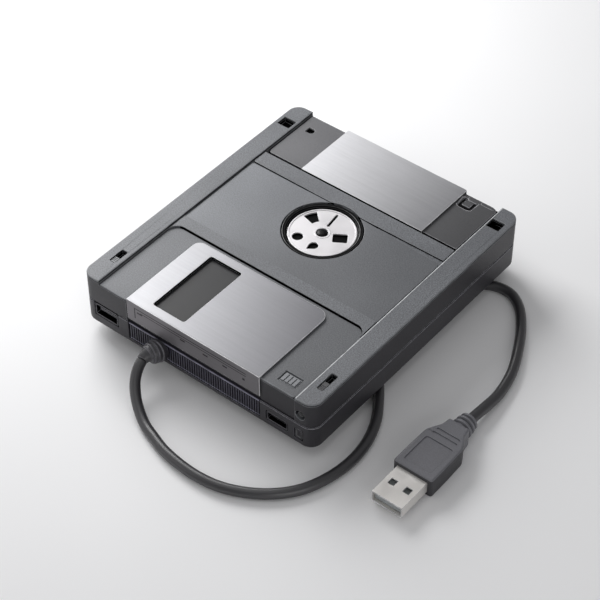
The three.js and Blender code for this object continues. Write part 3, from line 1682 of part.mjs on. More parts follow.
// A round solid along a curve, whose radius changes at stations given as [share of the curve, radius].
function sweptRound(route, stations) {
  const positions = [];
  const index = [];
  const up = new THREE.Vector3(0, 0, 1);
  for (const [share, radius] of stations) {
    const middle = route.getPoint(share);
    const across = new THREE.Vector3().crossVectors(route.getTangent(share), up).normalize();
    const above = new THREE.Vector3().crossVectors(across, route.getTangent(share)).normalize();
    for (let i = 0; i < roundSides; i += 1) {
      const angle = (i / roundSides) * Math.PI * 2;
      const point = middle.clone();
      point.addScaledVector(across, radius * Math.cos(angle));
      point.addScaledVector(above, radius * Math.sin(angle));
      positions.push(...point.toArray());
    }
  }
  for (let ring = 0; ring < stations.length - 1; ring += 1) {
    for (let i = 0; i < roundSides; i += 1) {
      const [a, b] = [ring * roundSides + i, ring * roundSides + ((i + 1) % roundSides)];
      index.push(a, b + roundSides, b, a, a + roundSides, b + roundSides);
    }
  }
  const last = (stations.length - 1) * roundSides;
  for (let i = 1; i < roundSides - 1; i += 1) {
    index.push(0, i, i + 1, last, last + i + 1, last + i);
  }
  const geometry = new THREE.BufferGeometry();
  geometry.setAttribute("position", new THREE.Float32BufferAttribute(positions, 3));
  geometry.setIndex(index);
  return solidOf(geometry);
}

function cord() {
  const points = cordRoute.map((point) => new THREE.Vector3(...point));
  const section = new THREE.Shape();
  section.absarc(0, 0, cordRadius, 0, Math.PI * 2);
  const geometry = new THREE.ExtrudeGeometry(section, {
    steps: cordSteps,
    curveSegments: cordSides / 2,
    extrudePath: new THREE.CatmullRomCurve3(points, false, "centripetal"),
    bevelEnabled: false,
  });
  return solidOf(geometry);
}

const plugFace = -plugLength;
const mouth = plugFace - shellProud;
const plugMiddle = plugHeight / 2;

// Overmould: a ribbed neck, a shoulder and a body with a bare panel on each side
function plugOvermould() {
  const shape = new THREE.Shape();
  shape.moveTo(-plugShoulderWidth / 2, -plugShoulderFrom);
  shape.lineTo(plugShoulderWidth / 2, -plugShoulderFrom);
  shape.lineTo(plugWidth / 2, -plugShoulderTo);
  shape.lineTo(plugWidth / 2, plugFace + plugEdge);
  shape.lineTo(plugWidth / 2 - plugEdge, plugFace);
  shape.lineTo(-plugWidth / 2 + plugEdge, plugFace);
  shape.lineTo(-plugWidth / 2, plugFace + plugEdge);
  shape.lineTo(-plugWidth / 2, -plugShoulderTo);
  shape.closePath();
  const ribs = [];
  const ribPitch = plugShoulderFrom / (plugRibs + 0.5);
  for (let i = 0; i < plugRibs; i += 1) {
    const y = -ribPitch * (i + 0.5);
    ribs.push(rodAlongY(plugRibRadius, 0, plugMiddle, [y - plugRibWidth, y], roundSides));
  }
  const panelXs = [-plugPanelWidth / 2, plugPanelWidth / 2];
  const panelYs = [-plugPanelTo, -plugPanelFrom];
  const pocketXs = [-shellWidth / 2 - gap, shellWidth / 2 + gap];
  const pocketZs = [plugMiddle - shellHeight / 2 - gap, plugMiddle + shellHeight / 2 + gap];
  return cut(
    join(
      plate(shape, [0, plugHeight]),
      rodAlongY(plugNeckRadius, 0, plugMiddle, [-plugShoulderFrom - overrun, 0], roundSides),
      ...ribs,
    ),
    block(panelXs, panelYs, [plugHeight - plugPanelDepth, plugHeight + overrun]),
    block(pocketXs, [plugFace - overrun, plugFace + shellSeat + gap], pocketZs),
  );
}

function plugShell() {
  const xs = [-shellWidth / 2, shellWidth / 2];
  const ys = [mouth, plugFace + shellSeat];
  const zs = [plugMiddle - shellHeight / 2, plugMiddle + shellHeight / 2];
  const holes = [-1, 1].map((s) => {
    const x = (s * shellHoleSpacing) / 2;
    const y = mouth + shellHoleFromMouth;
    const reach = shellHoleSize / 2;
    return block([x - reach, x + reach], [y - reach, y + reach], grown(zs, overrun));
  });
  const inside = block(grown(xs, -shellSheet), grown(ys, overrun), grown(zs, -shellSheet));
  return cut(block(xs, ys, zs), inside, ...holes);
}

function plugTongue() {
  const xs = grown([-shellWidth / 2, shellWidth / 2], -shellSheet - gap);
  const root = plugFace + shellSeat;
  const zs = grown([plugMiddle - shellHeight / 2, plugMiddle + shellHeight / 2], -shellSheet - gap);
  return join(
    block(xs, [mouth + tongueMouthRoom, root], [zs[0], zs[0] + tongueThickness]),
    block(xs, [root - tongueRoot, root], zs),
  );
}

addPiece("upper_shell", upperShell(), "lid");
addPiece("lower_shell", lowerShell(), "shell");
addPiece("vent_grille", ventGrille(), "shell");
addPiece(
  "window_inlay",
  block(inlayXs, inlayYs, [recessFloor - inlaySheet, recessFloor - inset]),
  "dark",
);
addPiece("mark_inlay", ribbedMark(), "lid");
addPiece("rear_panel", rearPanel(), "dark");
addPiece("rear_bezel", rearBezel(), "shell");
rubberFeet();
caseScrews();
addPiece("left_port", leftPort(), "steel");
addPiece("right_port", rightPort(), "steel");
addPiece("light_pipe", lightPipe(), "lens");
addPiece("front_shutter", frontShutter(), "brushed");
addPiece("rear_shutter", rearShutter(), "brushed");
for (const tab of tabs) {
  addPiece(tab.name, slidingTab(tab), "grey");
}
addPiece("setup_button", setupButton(), "dark");
addPiece("setup_switch", setupSwitch(), "grey");
addPiece("hub_ring", hubRing(), "gloss");
addPiece("hub_disc", hubDisc(), "polished");
addPiece("hub_pin", hubPin(), "gloss");
addPiece("dust_flap", dustFlap(), "dark");
addPiece("eject_button", ejectButton(), "shell");
addPiece("chassis", chassis(), "steel");
addPiece("disk_holder", diskHolder(), "steel");
addPiece("eject_slider", ejectSlider(), "steel");
springs();
addPiece("latch_lever", latchLever(), "steel");
addPiece("spindle_rotor", spindleRotor(), "steel");
addPiece("spindle_shaft", spindleShaft(), "polished");
addPiece("spindle_bearing", spindleBearing(), "copper");
addPiece("motor_stator", motorStator(), "copper");
addPiece("head_carriage", headCarriage(), "grey");
addPiece("head_arm", headArm(), "grey");
addPiece("lower_head", head([lowerArmTop + gap, lowerArmTop + lowerHeadRise]), "dark");
addPiece("upper_head", head([bayTop + gap / 4, hingeZ + armLift + armSheet]), "dark");
addPiece("guide_rod", guideRod(), "polished");
addPiece("lead_screw", leadScrew(), "steel");
addPiece("stepper_motor", stepperMotor(), "steel");
addPiece("interface_board", interfaceBoard(), "board");
addPiece("main_board", mainBoard(), "board");
addPiece("controller_chip", chip(controllerX, diskFront + controllerFromDisk, controllerSize), "gloss");
addPiece("usb_chip", chip(usbChipX, front + usbChipFromFront, usbChipSize), "gloss");
addPiece("ribbon_cable", ribbonCable(), "grey");
addPiece("track_sensor", trackSensor(), "dark");
addPiece("disk_switch", diskSwitch(), "dark");
addPiece("cable_socket", cableSocket(), "lens");
addPiece("strain_relief", strainRelief(), "cord");
addPiece("cord", cord(), "cord", drive);
const plug = new THREE.Group();
plug.position.set(plugX, plugNeckY, 0);
drive.add(plug);
addPiece("plug_overmould", plugOvermould(), "cord", plug);
addPiece("plug_shell", plugShell(), "polished", plug);
addPiece("plug_tongue", plugTongue(), "lens", plug);

export default drive;
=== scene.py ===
# External floppy disk drive: the detailed model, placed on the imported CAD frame.
# Lengths are in millimetres of the case's own frame (x right, y to the rear, z up from
# the underside) until a piece is finished, and in metres of the row frame after that.
import bpy
import bmesh
import json
import math
import numpy
from mathutils import Matrix, Vector


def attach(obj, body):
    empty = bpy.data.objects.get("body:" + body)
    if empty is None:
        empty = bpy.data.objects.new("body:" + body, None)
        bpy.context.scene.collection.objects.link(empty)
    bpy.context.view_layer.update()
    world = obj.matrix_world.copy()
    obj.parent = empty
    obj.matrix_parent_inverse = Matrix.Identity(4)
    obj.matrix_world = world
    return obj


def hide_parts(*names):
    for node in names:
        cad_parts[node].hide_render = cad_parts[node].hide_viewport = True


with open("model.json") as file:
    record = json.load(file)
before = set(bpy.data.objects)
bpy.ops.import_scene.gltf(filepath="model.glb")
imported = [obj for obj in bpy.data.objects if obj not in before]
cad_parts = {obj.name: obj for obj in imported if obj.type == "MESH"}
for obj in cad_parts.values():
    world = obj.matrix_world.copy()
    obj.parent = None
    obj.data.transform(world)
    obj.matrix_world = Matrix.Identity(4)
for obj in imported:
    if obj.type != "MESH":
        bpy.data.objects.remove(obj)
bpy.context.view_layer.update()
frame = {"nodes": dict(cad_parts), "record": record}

MM = 0.001
CASE = Vector((0.0, -0.6, 5.0))  # the case's frame in the row frame
TO_ROW = Matrix.Scale(MM, 4) @ Matrix.Translation(CASE)
BODIES = frame["record"]["behaviour"]["bodies"]

HALF = 51.0
FRONT = -59.0
REAR = 59.0
CORNER = 4.5
PARTING_LOW = 9.65
PARTING_HIGH = 9.95
UNDERSIDE = 18.0
REAR_FLOOR = 18.9
GROOVE_FLOOR = 19.2
RECESS = 19.8
CAP_SEAM = (19.96, 20.32)
PANEL_TOP = 20.25
BAR_TOP = 20.55
TOP = 21.0
RAIL = 43.0
GROOVE = 42.5
FRONT_BAR = -19.5
PANEL_FRONT = -14.5
PANEL_REAR = 23.0
REAR_BAR = (23.6, 30.35)
SHUTTER_LEFT = -30.2
SHUTTER_RIGHT = 28.3
HUB_Y = 10.0
HUB_HOLE = 14.8
HUB_PIT = 14.5
PHOTO_PIXELS = 600
INSIDE = ((-49, 49), (-57, 57))
REAR_MOUTH = ((-47.3, 47.3), (57, REAR))


def body_of(node):
    return next(body for body, nodes in BODIES.items() if node in nodes)


# Camera

def place_camera(azimuth=38.775, elevation=44.472, eye=(-1.568, -4.65, 674.5), focal_pixels=1893.4):
    """The photograph's view, with the eye's place given right, up and back of the case."""
    a, e = math.radians(azimuth), math.radians(elevation)
    back = Vector((math.sin(a) * math.cos(e), -math.cos(a) * math.cos(e), math.sin(e)))
    right = Vector((math.cos(a), math.sin(a), 0))
    up = back.cross(right)
    camera = bpy.data.objects.new("camera", bpy.data.cameras.new("camera"))
    bpy.context.scene.collection.objects.link(camera)
    camera.matrix_world = Matrix((right, up, back)).transposed().to_4x4()
    camera.location = (right * eye[0] + up * eye[1] + back * eye[2] + CASE) * MM
    camera.data.lens = camera.data.sensor_width * focal_pixels / PHOTO_PIXELS
    camera.data.clip_start = 0.01
    bpy.context.scene.camera = camera


place_camera()


# Finishes

def paint(code):
    """A colour written as six hex digits, in linear light."""
    values = [int(code[i:i + 2], 16) / 255 for i in (0, 2, 4)]
    return [*(v / 12.92 if v < 0.04045 else ((v + 0.055) / 1.055) ** 2.4 for v in values), 1.0]


class Finish:
    """A procedural material. Patterns are in millimetres of the object's own space."""

    def __init__(self, name, colour, rough=0.5, metal=0.0, **more):
        self.material = bpy.data.materials.new(name)
        self.material.use_nodes = True
        self.tree = self.material.node_tree
        self.shader = self.tree.nodes["Principled BSDF"]
        self.material.diffuse_color = paint(colour)
        self.set("Base Color", paint(colour))
        self.set("Roughness", rough)
        self.set("Metallic", metal)
        for key, value in more.items():
            self.set(key.replace("_", " "), value)
        self.place = self.tree.nodes.new("ShaderNodeTexCoord").outputs["Object"]

    def feed(self, socket, value):
        """Links a pattern to a socket, or writes a plain value on it."""
        if hasattr(value, "is_output"):
            self.tree.links.new(value, socket)
        else:
            socket.default_value = value

    def set(self, name, value):
        self.feed(self.shader.inputs[name], value)

    def node(self, kind, inputs, **settings):
        node = self.tree.nodes.new("ShaderNode" + kind)
        for key, value in settings.items():
            setattr(node, key, value)
        for key, value in inputs.items():
            self.feed(node.inputs[key], value)
        return node

    def at(self, scale=(1, 1, 1)):
        """The place on the piece in millimetres, stretched by scale."""
        inputs = {"Vector": self.place, "Scale": [s / MM for s in scale]}
        return self.node("Mapping", inputs).outputs["Vector"]

    def noise(self, size, detail=2.0, rough=0.5, stretch=(1, 1, 1)):
        """A cloudy pattern whose blobs are about size millimetres across."""
        inputs = {"Vector": self.at(stretch), "Scale": 1 / size, "Detail": detail, "Roughness": rough}
        return self.node("TexNoise", inputs).outputs["Fac"]

    def cells(self, size):
        return self.node("TexVoronoi", {"Vector": self.at(), "Scale": 1 / size}).outputs["Distance"]

    def along(self, ways, low, high):
        """How far a place lies along a sloping line, from 0 at low to 1 at high (millimetres)."""
        run = self.node("VectorMath", {0: self.at(), 1: ways}, operation="DOT_PRODUCT").outputs["Value"]
        return self.spread(run, low, high)

    def grey(self, value):
        return self.node("CombineColor", {"Red": value, "Green": value, "Blue": value}).outputs[0]

    def spread(self, value, low, high, to_low=0.0, to_high=1.0):
        return self.node(
            "MapRange",
            {"Value": value, "From Min": low, "From Max": high, "To Min": to_low, "To Max": to_high},
        ).outputs["Result"]

    def maths(self, operation, a, b):
        return self.node("Math", {0: a, 1: b}, operation=operation).outputs[0]

    def blend(self, amount, a, b, how="MIX"):
        return self.node("Mix", {0: amount, 6: a, 7: b}, data_type="RGBA", blend_type=how).outputs[2]

    def bump(self, height, strength, depth):
        inputs = {"Height": height, "Strength": strength, "Distance": depth * MM}
        return self.node("Bump", inputs).outputs["Normal"]


def moulded(
    name, low, high, rough, grain=0.45, depth=0.05, strength=0.5, cloud=30.0, speck=0.1, shine=0.5, painted_light_fade=None,
):
    """Moulded plastic with a spark-eroded grain and a slow change of tone, and optionally painted light: a
    fade of the tone along x, lighter towards the lamps on the left.
    """
    look = Finish(name, low, rough, Specular_IOR_Level=shine)
    slow = look.spread(look.noise(cloud, 1.0), 0.3, 0.7)
    fine = look.noise(grain, 2.0, 0.6)
    pits = look.cells(grain * 1.6)
    tone = look.blend(slow, paint(low), paint(high))
    dots = look.spread(fine, 0.35, 0.65, 1 - speck, 1 + speck)
    # Painted light: the optional fade scales the tone along x, lighter towards the lamps on the left.
    if painted_light_fade:
        span, ends = painted_light_fade
        dots = look.maths("MULTIPLY", dots, look.spread(look.along((1, -0.25, 0), *span), 0, 1, *ends))
    look.set("Base Color", look.blend(1.0, tone, look.grey(dots), "MULTIPLY"))
    look.set("Roughness", look.spread(fine, 0.3, 0.7, rough - 0.08, rough + 0.1))
    height = look.maths("ADD", fine, look.maths("MULTIPLY", pits, 0.5))
    look.set("Normal", look.bump(height, strength, depth))
    return look.material


def wear_and_highlight(name, colour, rough=0.4, metal=0.0):
    """A lighter edge finish: a painted highlight along the edges of a moulding or a sheet, with patches of
    wear.
    """
    look = Finish(name, colour, rough, metal)
    patches = look.spread(look.noise(3.0, 3.0), 0.35, 0.65)
    dark = [c * 0.6 for c in paint(colour)[:3]] + [1.0]
    look.set("Base Color", look.blend(patches, dark, paint(colour)))
    look.set("Roughness", look.spread(look.noise(0.6), 0.3, 0.7, rough - 0.08, rough + 0.15))
    look.set("Normal", look.bump(look.noise(0.5), 0.2, 0.03))
    return look.material


def brushed(name, low, high, ways=(1, 0, 0), span=(-40, 40), rough=0.42, marks=None):
    """Brushed sheet metal: fine scratches along x, and a slope of tone across the sheet that is a painted
    reflection of the lamps on the left.
    """
    look = Finish(name, low, rough, 0.55)
    lines = look.noise(0.1, 2.0, 0.6, (0.014, 1, 1))
    wide = look.noise(0.9, 2.0, 0.5, (0.03, 1, 1))
    # Painted reflection: the tone slopes from low to high along ways, lighter where the sheet faces the lamps
    # on the left.
    tone = look.blend(look.along(ways, *span), paint(low), paint(high))
    scratches = look.spread(lines, 0.3, 0.7, -0.05, 0.05)
    streak = look.maths("ADD", scratches, look.spread(wide, 0.3, 0.7, 0.97, 1.03))
    tone = look.blend(1.0, tone, look.grey(streak), "MULTIPLY")
    if marks is not None:
        tone = look.blend(marks(look), tone, paint("2a282b"))
    look.set("Base Color", tone)
    look.set("Roughness", look.spread(lines, 0.3, 0.7, rough - 0.05, rough + 0.08))
    look.set("Normal", look.bump(lines, 0.15, 0.01))
    return look.material


def metal(name, low, high, rough=0.3, mottle=2.0, amount=0.9):
    """Plain plated metal with faint mottling."""
    look = Finish(name, low, rough, amount)
    slow = look.spread(look.noise(mottle, 3.0), 0.3, 0.7)
    look.set("Base Color", look.blend(slow, paint(low), paint(high)))
    look.set("Roughness", look.spread(look.noise(mottle / 3, 2.0), 0.3, 0.7, rough - 0.05, rough + 0.08))
    look.set("Normal", look.bump(look.noise(mottle / 6), 0.15, 0.01))
    return look.material


LID_GRAIN = dict(low="606266", high="6c6e72", rough=0.5, grain=0.42, depth=0.07, strength=0.7)
SATIN = dict(rough=0.42, grain=0.5, depth=0.006, strength=0.2, shine=0.3)
SMOOTH_DARK = dict(
    low="464648", high="505052", rough=0.42, grain=0.3, depth=0.006, strength=0.2, shine=0.4,
)
LID = moulded("lid_plastic", speck=0.36, **LID_GRAIN)
# Painted light and sheen: the panel and the front recess fade along x, lighter towards the lamps on the left.
PANEL = moulded("panel_plastic", speck=0.2, painted_light_fade=((-40, 12), (1.4, 0.82)), **LID_GRAIN)
SUNK = moulded("recess_plastic", speck=0.25, painted_light_fade=((-36, 48), (0.96, 0.74)), **LID_GRAIN)
# The lighter edge finishes below are painted highlights along edges, with patches of wear.
LID_EDGE = wear_and_highlight("lid_edge", "7c7e81")
# Lighter than the lid: on the lid's rolled edges it is a painted highlight; the mark plate uses it as its own
# finish.
LID_ROLL = moulded("lid_rolled_edge", "7a7c80", "888a8e", 0.42, depth=0.02, strength=0.3)
# A bright painted highlight along the right rail's inner top edge.
RAIL_HIGHLIGHT = wear_and_highlight("rail_highlight", "d6d8da", 0.5)
SIDE = moulded("lid_side_plastic", "2c2b2f", "333236", **SATIN)
SHELL = moulded("shell_plastic", "302f33", "38373b", **SATIN)
SHELL_EDGE = wear_and_highlight("shell_edge", "45444a")
# A bright painted highlight along the lower shell's top edge and the grille opening's lower edge.
PARTING_HIGHLIGHT = wear_and_highlight("parting_highlight", "cfced6", 0.4)
DARK = moulded("dark_plastic", **SMOOTH_DARK)
DARK_EDGE = wear_and_highlight("dark_edge", "6d6d70")
# Painted light: the rear plate fades along x, lighter towards the lamps on the left.
REAR_PLATE = moulded("rear_plate_plastic", painted_light_fade=((-46, 6), (1.9, 1.0)), **SMOOTH_DARK)
CATCH_RIM = wear_and_highlight("catch_rim", "c4c2c6", 0.35)
CATCH_EDGE = wear_and_highlight("catch_edge", "9a9a9e", 0.35)
TRAY = moulded(
    "tray_plastic", "1f1f21", "242426", 0.4, grain=0.25, depth=0.001, strength=0.1, speck=0.02,
    shine=0.25,
)
BLACK = moulded("black_gloss", "040405", "070708", 0.3, grain=0.3, depth=0.002, strength=0.1, shine=0.15)
BLACK_EDGE = wear_and_highlight("black_edge", "1b1c1e", 0.3)
GAP = moulded("shaded_gap", "020202", "030303", 0.7, depth=0.002, strength=0.1, shine=0.02)
BRUSHED_EDGE = wear_and_highlight("aluminium_edge", "ececee", 0.4, 0.1)
POLISHED = metal("polished_metal", "c9c9cc", "dedee0", 0.2)
POLISHED_EDGE = wear_and_highlight("polished_edge", "f0f0f2", 0.18, 0.6)
PLUG_METAL = metal("plug_metal", "e2dfdb", "eeebe8", 0.35, 12.0, 0.6)
STEEL = metal("zinc_steel", "8e9094", "a9abae", 0.35)
STEEL_EDGE = wear_and_highlight("steel_edge", "c4c6c9", 0.28, 0.6)
GUNMETAL = metal("port_metal", "2c2b2f", "39383d", 0.35, 2.0, 0.5)
GUNMETAL_EDGE = wear_and_highlight("port_edge", "87868c", 0.3, 0.4)
RUBBER = moulded("rubber", "1b1b1c", "242425", 0.75, grain=0.5, depth=0.02, strength=0.4)
GREY = moulded("grey_plastic", "6e7073", "797b7e", 0.45, grain=0.3, depth=0.015, strength=0.3)
GREY_EDGE = wear_and_highlight("grey_edge", "9b9d9f")
DARK_KEY = moulded("key_plastic", "222126", "2a292e", 0.4, grain=0.3, depth=0.005, strength=0.2, shine=0.3)
IVORY = moulded("socket_plastic", "c9c5b6", "d6d2c4", 0.4, grain=0.3, depth=0.004, strength=0.2)
BOARD = moulded("circuit_board", "1d4a34", "235a3e", 0.35, grain=0.6, depth=0.02)
COPPER = metal("copper", "a4633c", "c07b4c", 0.35, 0.8)
SMOKED = Finish("smoked_lens", "161619", 0.1, Specular_IOR_Level=0.6).material
LENS = Finish("clear_lens", "e6ecee", 0.12, Transmission_Weight=0.6, IOR=1.49).material
CORD = moulded(
    "cord_jacket", "222125", "28272b", 0.4, grain=0.35, depth=0.001, strength=0.05, speck=0.05, shine=1.0,
)
BOOT = moulded(
    "boot_plastic", "2f2e32", "363539", 0.38, grain=0.35, depth=0.002, strength=0.1, speck=0.05, shine=0.8,
)
CORD_EDGE = wear_and_highlight("cord_edge", "6a696f")
GRIP = moulded("grip_plastic", "636368", "6e6e73", 0.42, grain=0.35, depth=0.015, strength=0.35)
GRIP_EDGE = wear_and_highlight("grip_edge", "85858b")
GRIP_SIDE = moulded("grip_side_plastic", "2b2b2f", "323236", 0.42, grain=0.35, depth=0.01, strength=0.25)


# Shapes

def outline(corners, steps=7):
    """Points of a polygon whose corners are given as (x, y, radius)."""
    points = []
    count = len(corners)
    for i, (x, y, radius) in enumerate(corners):
        here = Vector((x, y))
        if radius <= 0:
            points.append(here)
            continue
        before = (Vector(corners[i - 1][:2]) - here).normalized()
        after = (Vector(corners[(i + 1) % count][:2]) - here).normalized()
        half = before.angle(after) / 2
        centre = here + (before + after).normalized() * radius / math.sin(half)
        spoke = here + before * radius / math.tan(half) - centre
        sweep = math.pi - 2 * half
        if before.x * after.y - before.y * after.x > 0:
            sweep = -sweep
        for k in range(steps + 1):
            points.append(centre + Matrix.Rotation(sweep * k / steps, 2) @ spoke)
    return points


def rectangle(xs, ys, radius=0.0, steps=7):
    return outline(
        [(xs[0], ys[0], radius), (xs[1], ys[0], radius), (xs[1], ys[1], radius), (xs[0], ys[1], radius)],
        steps,
    )


def kind_of(geometry, kind):
    return [g for g in geometry if isinstance(g, kind)]


def lifted(bm, faces, height):
    """Draws flat faces up into a body."""
    drawn = bmesh.ops.extrude_face_region(bm, geom=faces)["geom"]
    bmesh.ops.translate(bm, verts=kind_of(drawn, bmesh.types.BMVert), vec=(0, 0, height))


def flattened(bm, angle=math.radians(1)):
    """Makes one face of those that lie in one plane."""
    bmesh.ops.dissolve_limit(bm, angle_limit=angle, verts=bm.verts, edges=bm.edges)


def slab(bm, points, zs):
    """A prism standing on zs[0], from a flat polygon."""
    face = bm.faces.new([bm.verts.new((p[0], p[1], zs[0])) for p in points])
    lifted(bm, [face], zs[1] - zs[0])


def blocks(*steps):
    """A body made of upright boxes, added (+) and cut away (-) in turn.

    Its faces are read off one grid, because booleans would leave slivers that tear when edges are eased.
    """
    lines = [sorted({round(v, 4) for step in steps for v in step[1 + a]}) for a in range(3)]
    filled = numpy.zeros([len(line) - 1 for line in lines], bool)
    for sign, *spans in steps:
        cells = (
            slice(lines[a].index(round(spans[a][0], 4)), lines[a].index(round(spans[a][1], 4)))
            for a in range(3)
        )
        filled[tuple(cells)] = sign == "+"
    bm = bmesh.new()
    verts = {}

    def vert(key):
        if key not in verts:
            verts[key] = bm.verts.new([lines[a][key[a]] for a in range(3)])
        return verts[key]

    around = numpy.pad(filled, 1)
    for a in range(3):
        b, c = (a + 1) % 3, (a + 2) % 3
        change = numpy.diff(around.astype(int), axis=a)
        for cell in numpy.argwhere(change != 0):
            step = change[tuple(cell)]
            low = [int(n) - 1 for n in cell]
            low[a] += 1
            ring = []
            for u, v in ((0, 0), (1, 0), (1, 1), (0, 1)):
                key = list(low)
                key[b] += u
                key[c] += v
                ring.append(vert(tuple(key)))
            bm.faces.new(ring if step < 0 else ring[::-1])
    flattened(bm)
    return bm


def edges_at(bm, test):
    """The edges whose middle and direction pass the test."""
    found = []
    for edge in bm.edges:
        a, b = edge.verts[0].co, edge.verts[1].co
        if test((a + b) / 2, (b - a).normalized()):
            found.append(edge)
    return found


def rolled(bm, edges, width, steps, look=-1):
    """Rounds edges over, and gives back the new faces."""
    return bmesh.ops.bevel(
        bm, geom=edges, offset=width, segments=steps, profile=0.5,
        affect="EDGES", clamp_overlap=False, material=look,
    )["faces"]


def round_corners(bm, places, radius, steps=7, zs=(-99, 99), reach=0.02):
    """Rounds the upright edges that stand at these (x, y) places."""
    def here(middle, way):
        return abs(way.z) > 0.99 and zs[0] < middle.z < zs[1] and any(
            abs(middle.x - x) < reach and abs(middle.y - y) < reach for x, y in places
        )

    rolled(bm, edges_at(bm, here), radius, steps)


def trim_corner(bm, corner, towards, radius, steps=8):
    """Rounds the body's outermost corner in plan, towards (x, y), with one flat cut after another."""
    sx, sy = towards
    centre = Vector((corner[0] - sx * radius, corner[1] - sy * radius, 0))
    for k in range(steps):
        t = math.radians(90 * (k + 0.5) / steps)
        way = Vector((sx * math.cos(t), sy * math.sin(t), 0))
        cut = bmesh.ops.bisect_plane(
            bm, geom=[*bm.verts, *bm.edges, *bm.faces], dist=1e-5, clear_outer=True,
            plane_co=centre + way * radius * math.cos(math.radians(45 / steps)), plane_no=way,
        )["geom_cut"]
        bmesh.ops.edgeloop_fill(bm, edges=kind_of(cut, bmesh.types.BMEdge))


def trim_corners(bm, radius, inset=0.0):
    """Rounds the four corners of the case's plan, drawn in by the inset."""
    for sx in (-1, 1):
        for sy in (-1, 1):
            trim_corner(bm, (sx * (HALF - inset), sy * (REAR - inset)), (sx, sy), radius - inset)
    flattened(bm)


def ease(bm, test, width, look=-1, steps=3):
    """Rounds the chosen edges over, and keeps the faces beside them flat."""
    made = {face for face in rolled(bm, edges_at(bm, test), width, steps, look) if face.is_valid}
    for face in made:
        for edge in face.edges:
            if any(other not in made for other in edge.link_faces):
                edge.smooth = False


def added(bm, other):
    """Puts the other body into this one."""
    mesh = bpy.data.meshes.new("part")
    other.to_mesh(mesh)
    other.free()
    bm.from_mesh(mesh)
    bpy.data.meshes.remove(mesh)


def carved(bm, tool):
    """Cuts the other body out of this one."""
    objects = []
    for body in (bm, tool):
        bmesh.ops.recalc_face_normals(body, faces=body.faces)
        mesh = bpy.data.meshes.new("part")
        body.to_mesh(mesh)
        objects.append(bpy.data.objects.new("part", mesh))
        bpy.context.scene.collection.objects.link(objects[-1])
    tool.free()
    cut = objects[0].modifiers.new("cut", "BOOLEAN")
    cut.object = objects[1]
    cut.operation = "DIFFERENCE"
    cut.solver = "EXACT"
    scene = bpy.context.evaluated_depsgraph_get()
    mesh = bpy.data.meshes.new_from_object(objects[0].evaluated_get(scene))
    bm.clear()
    bm.from_mesh(mesh)
    for obj in objects:
        bpy.data.meshes.remove(obj.data)
    bpy.data.meshes.remove(mesh)
    bmesh.ops.remove_doubles(bm, verts=bm.verts, dist=1e-4)
    flattened(bm)


def tinted(bm, test, look):
    """Gives the faces that pass the test another of the piece's finishes."""
    bmesh.ops.recalc_face_normals(bm, faces=bm.faces)
    for face in bm.faces:
        if test(face.calc_center_median(), face.normal):
            face.material_index = look


def coated(bm, first, look):
    """Gives the faces made since the first ones another of the piece's finishes."""
    for face in list(bm.faces)[first:]:
        face.material_index = look


def ring_of(bm, points, z):
    """The edges of a closed outline that lies at one height."""
    ring = [bm.verts.new((p[0], p[1], z)) for p in points]
    return [bm.edges.new((ring[k - 1], ring[k])) for k in range(len(ring))]


def pierced(bm, outer, holes, zs):
    """A plate with holes of any outline."""
    edges = []
    for loop in (outer, *holes):
        edges += ring_of(bm, loop, zs[0])
    plate = bmesh.ops.triangle_fill(bm, edges=edges, use_beauty=True, use_dissolve=False)["geom"]
    lifted(bm, kind_of(plate, bmesh.types.BMFace), zs[1] - zs[0])


def shaped(bm, levels, holes, looks):
    """A plate with rolled edges: outlines of as many points each, one above another, and holes."""
    def band(low, high, look):
        for face in bmesh.ops.bridge_loops(bm, edges=low + high)["faces"]:
            face.material_index = look

    skin = [ring_of(bm, points, z) for points, z in levels]
    pits = [[ring_of(bm, hole, levels[k][1]) for k in (0, -1)] for hole in holes]
    for edge in skin[0] + skin[-1]:
        edge.smooth = False
    for low, high, look in zip(skin, skin[1:], looks):
        band(low, high, look)
    for low, high in pits:
        band(low, high, looks[-1])
    for k in (0, -1):
        edges = sum([skin[k], *(pit[k] for pit in pits)], [])
        bmesh.ops.triangle_fill(bm, edges=edges, use_beauty=True, use_dissolve=False)


def piece(name, bm, node, looks, edge, segments=3, limit=30, placed=False):
    """A named piece in a node's place, on its body, with its finishes and eased edges."""
    if not placed:
        bmesh.ops.recalc_face_normals(bm, faces=bm.faces)
        bmesh.ops.transform(bm, matrix=TO_ROW, verts=bm.verts)
    for line in bm.edges:
        if line.calc_face_angle(0.0) > math.radians(35):
            line.smooth = False
    for face in bm.faces:
        face.smooth = True
    mesh = bpy.data.meshes.new(name)
    bm.to_mesh(mesh)
    bm.free()
    obj = bpy.data.objects.new(name, mesh)
    bpy.context.scene.collection.objects.link(obj)
    for look in looks:
        mesh.materials.append(look)
    if edge:
        bevel = obj.modifiers.new("edges", "BEVEL")
        bevel.width = edge * MM
        bevel.segments = segments
        bevel.limit_method = "ANGLE"
        bevel.angle_limit = math.radians(limit)
        bevel.use_clamp_overlap = False
        bevel.harden_normals = True
        # The bevel's faces take the piece's second finish; on most pieces that is a lighter edge finish, a
        # painted highlight.
        if len(looks) > 1:
            bevel.material = 1
    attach(obj, body_of(node))
    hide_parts(node)
    return obj


def dressed(node, looks, edge):
    """A copy of a CAD node's mesh with its flat faces made whole and its edges eased."""
    bm = bmesh.new()
    bm.from_mesh(frame["nodes"][node].data)
    bmesh.ops.remove_doubles(bm, verts=bm.verts, dist=0.002 * MM)
    flattened(bm)
    return piece(node + "_body", bm, node, looks, edge, placed=True)


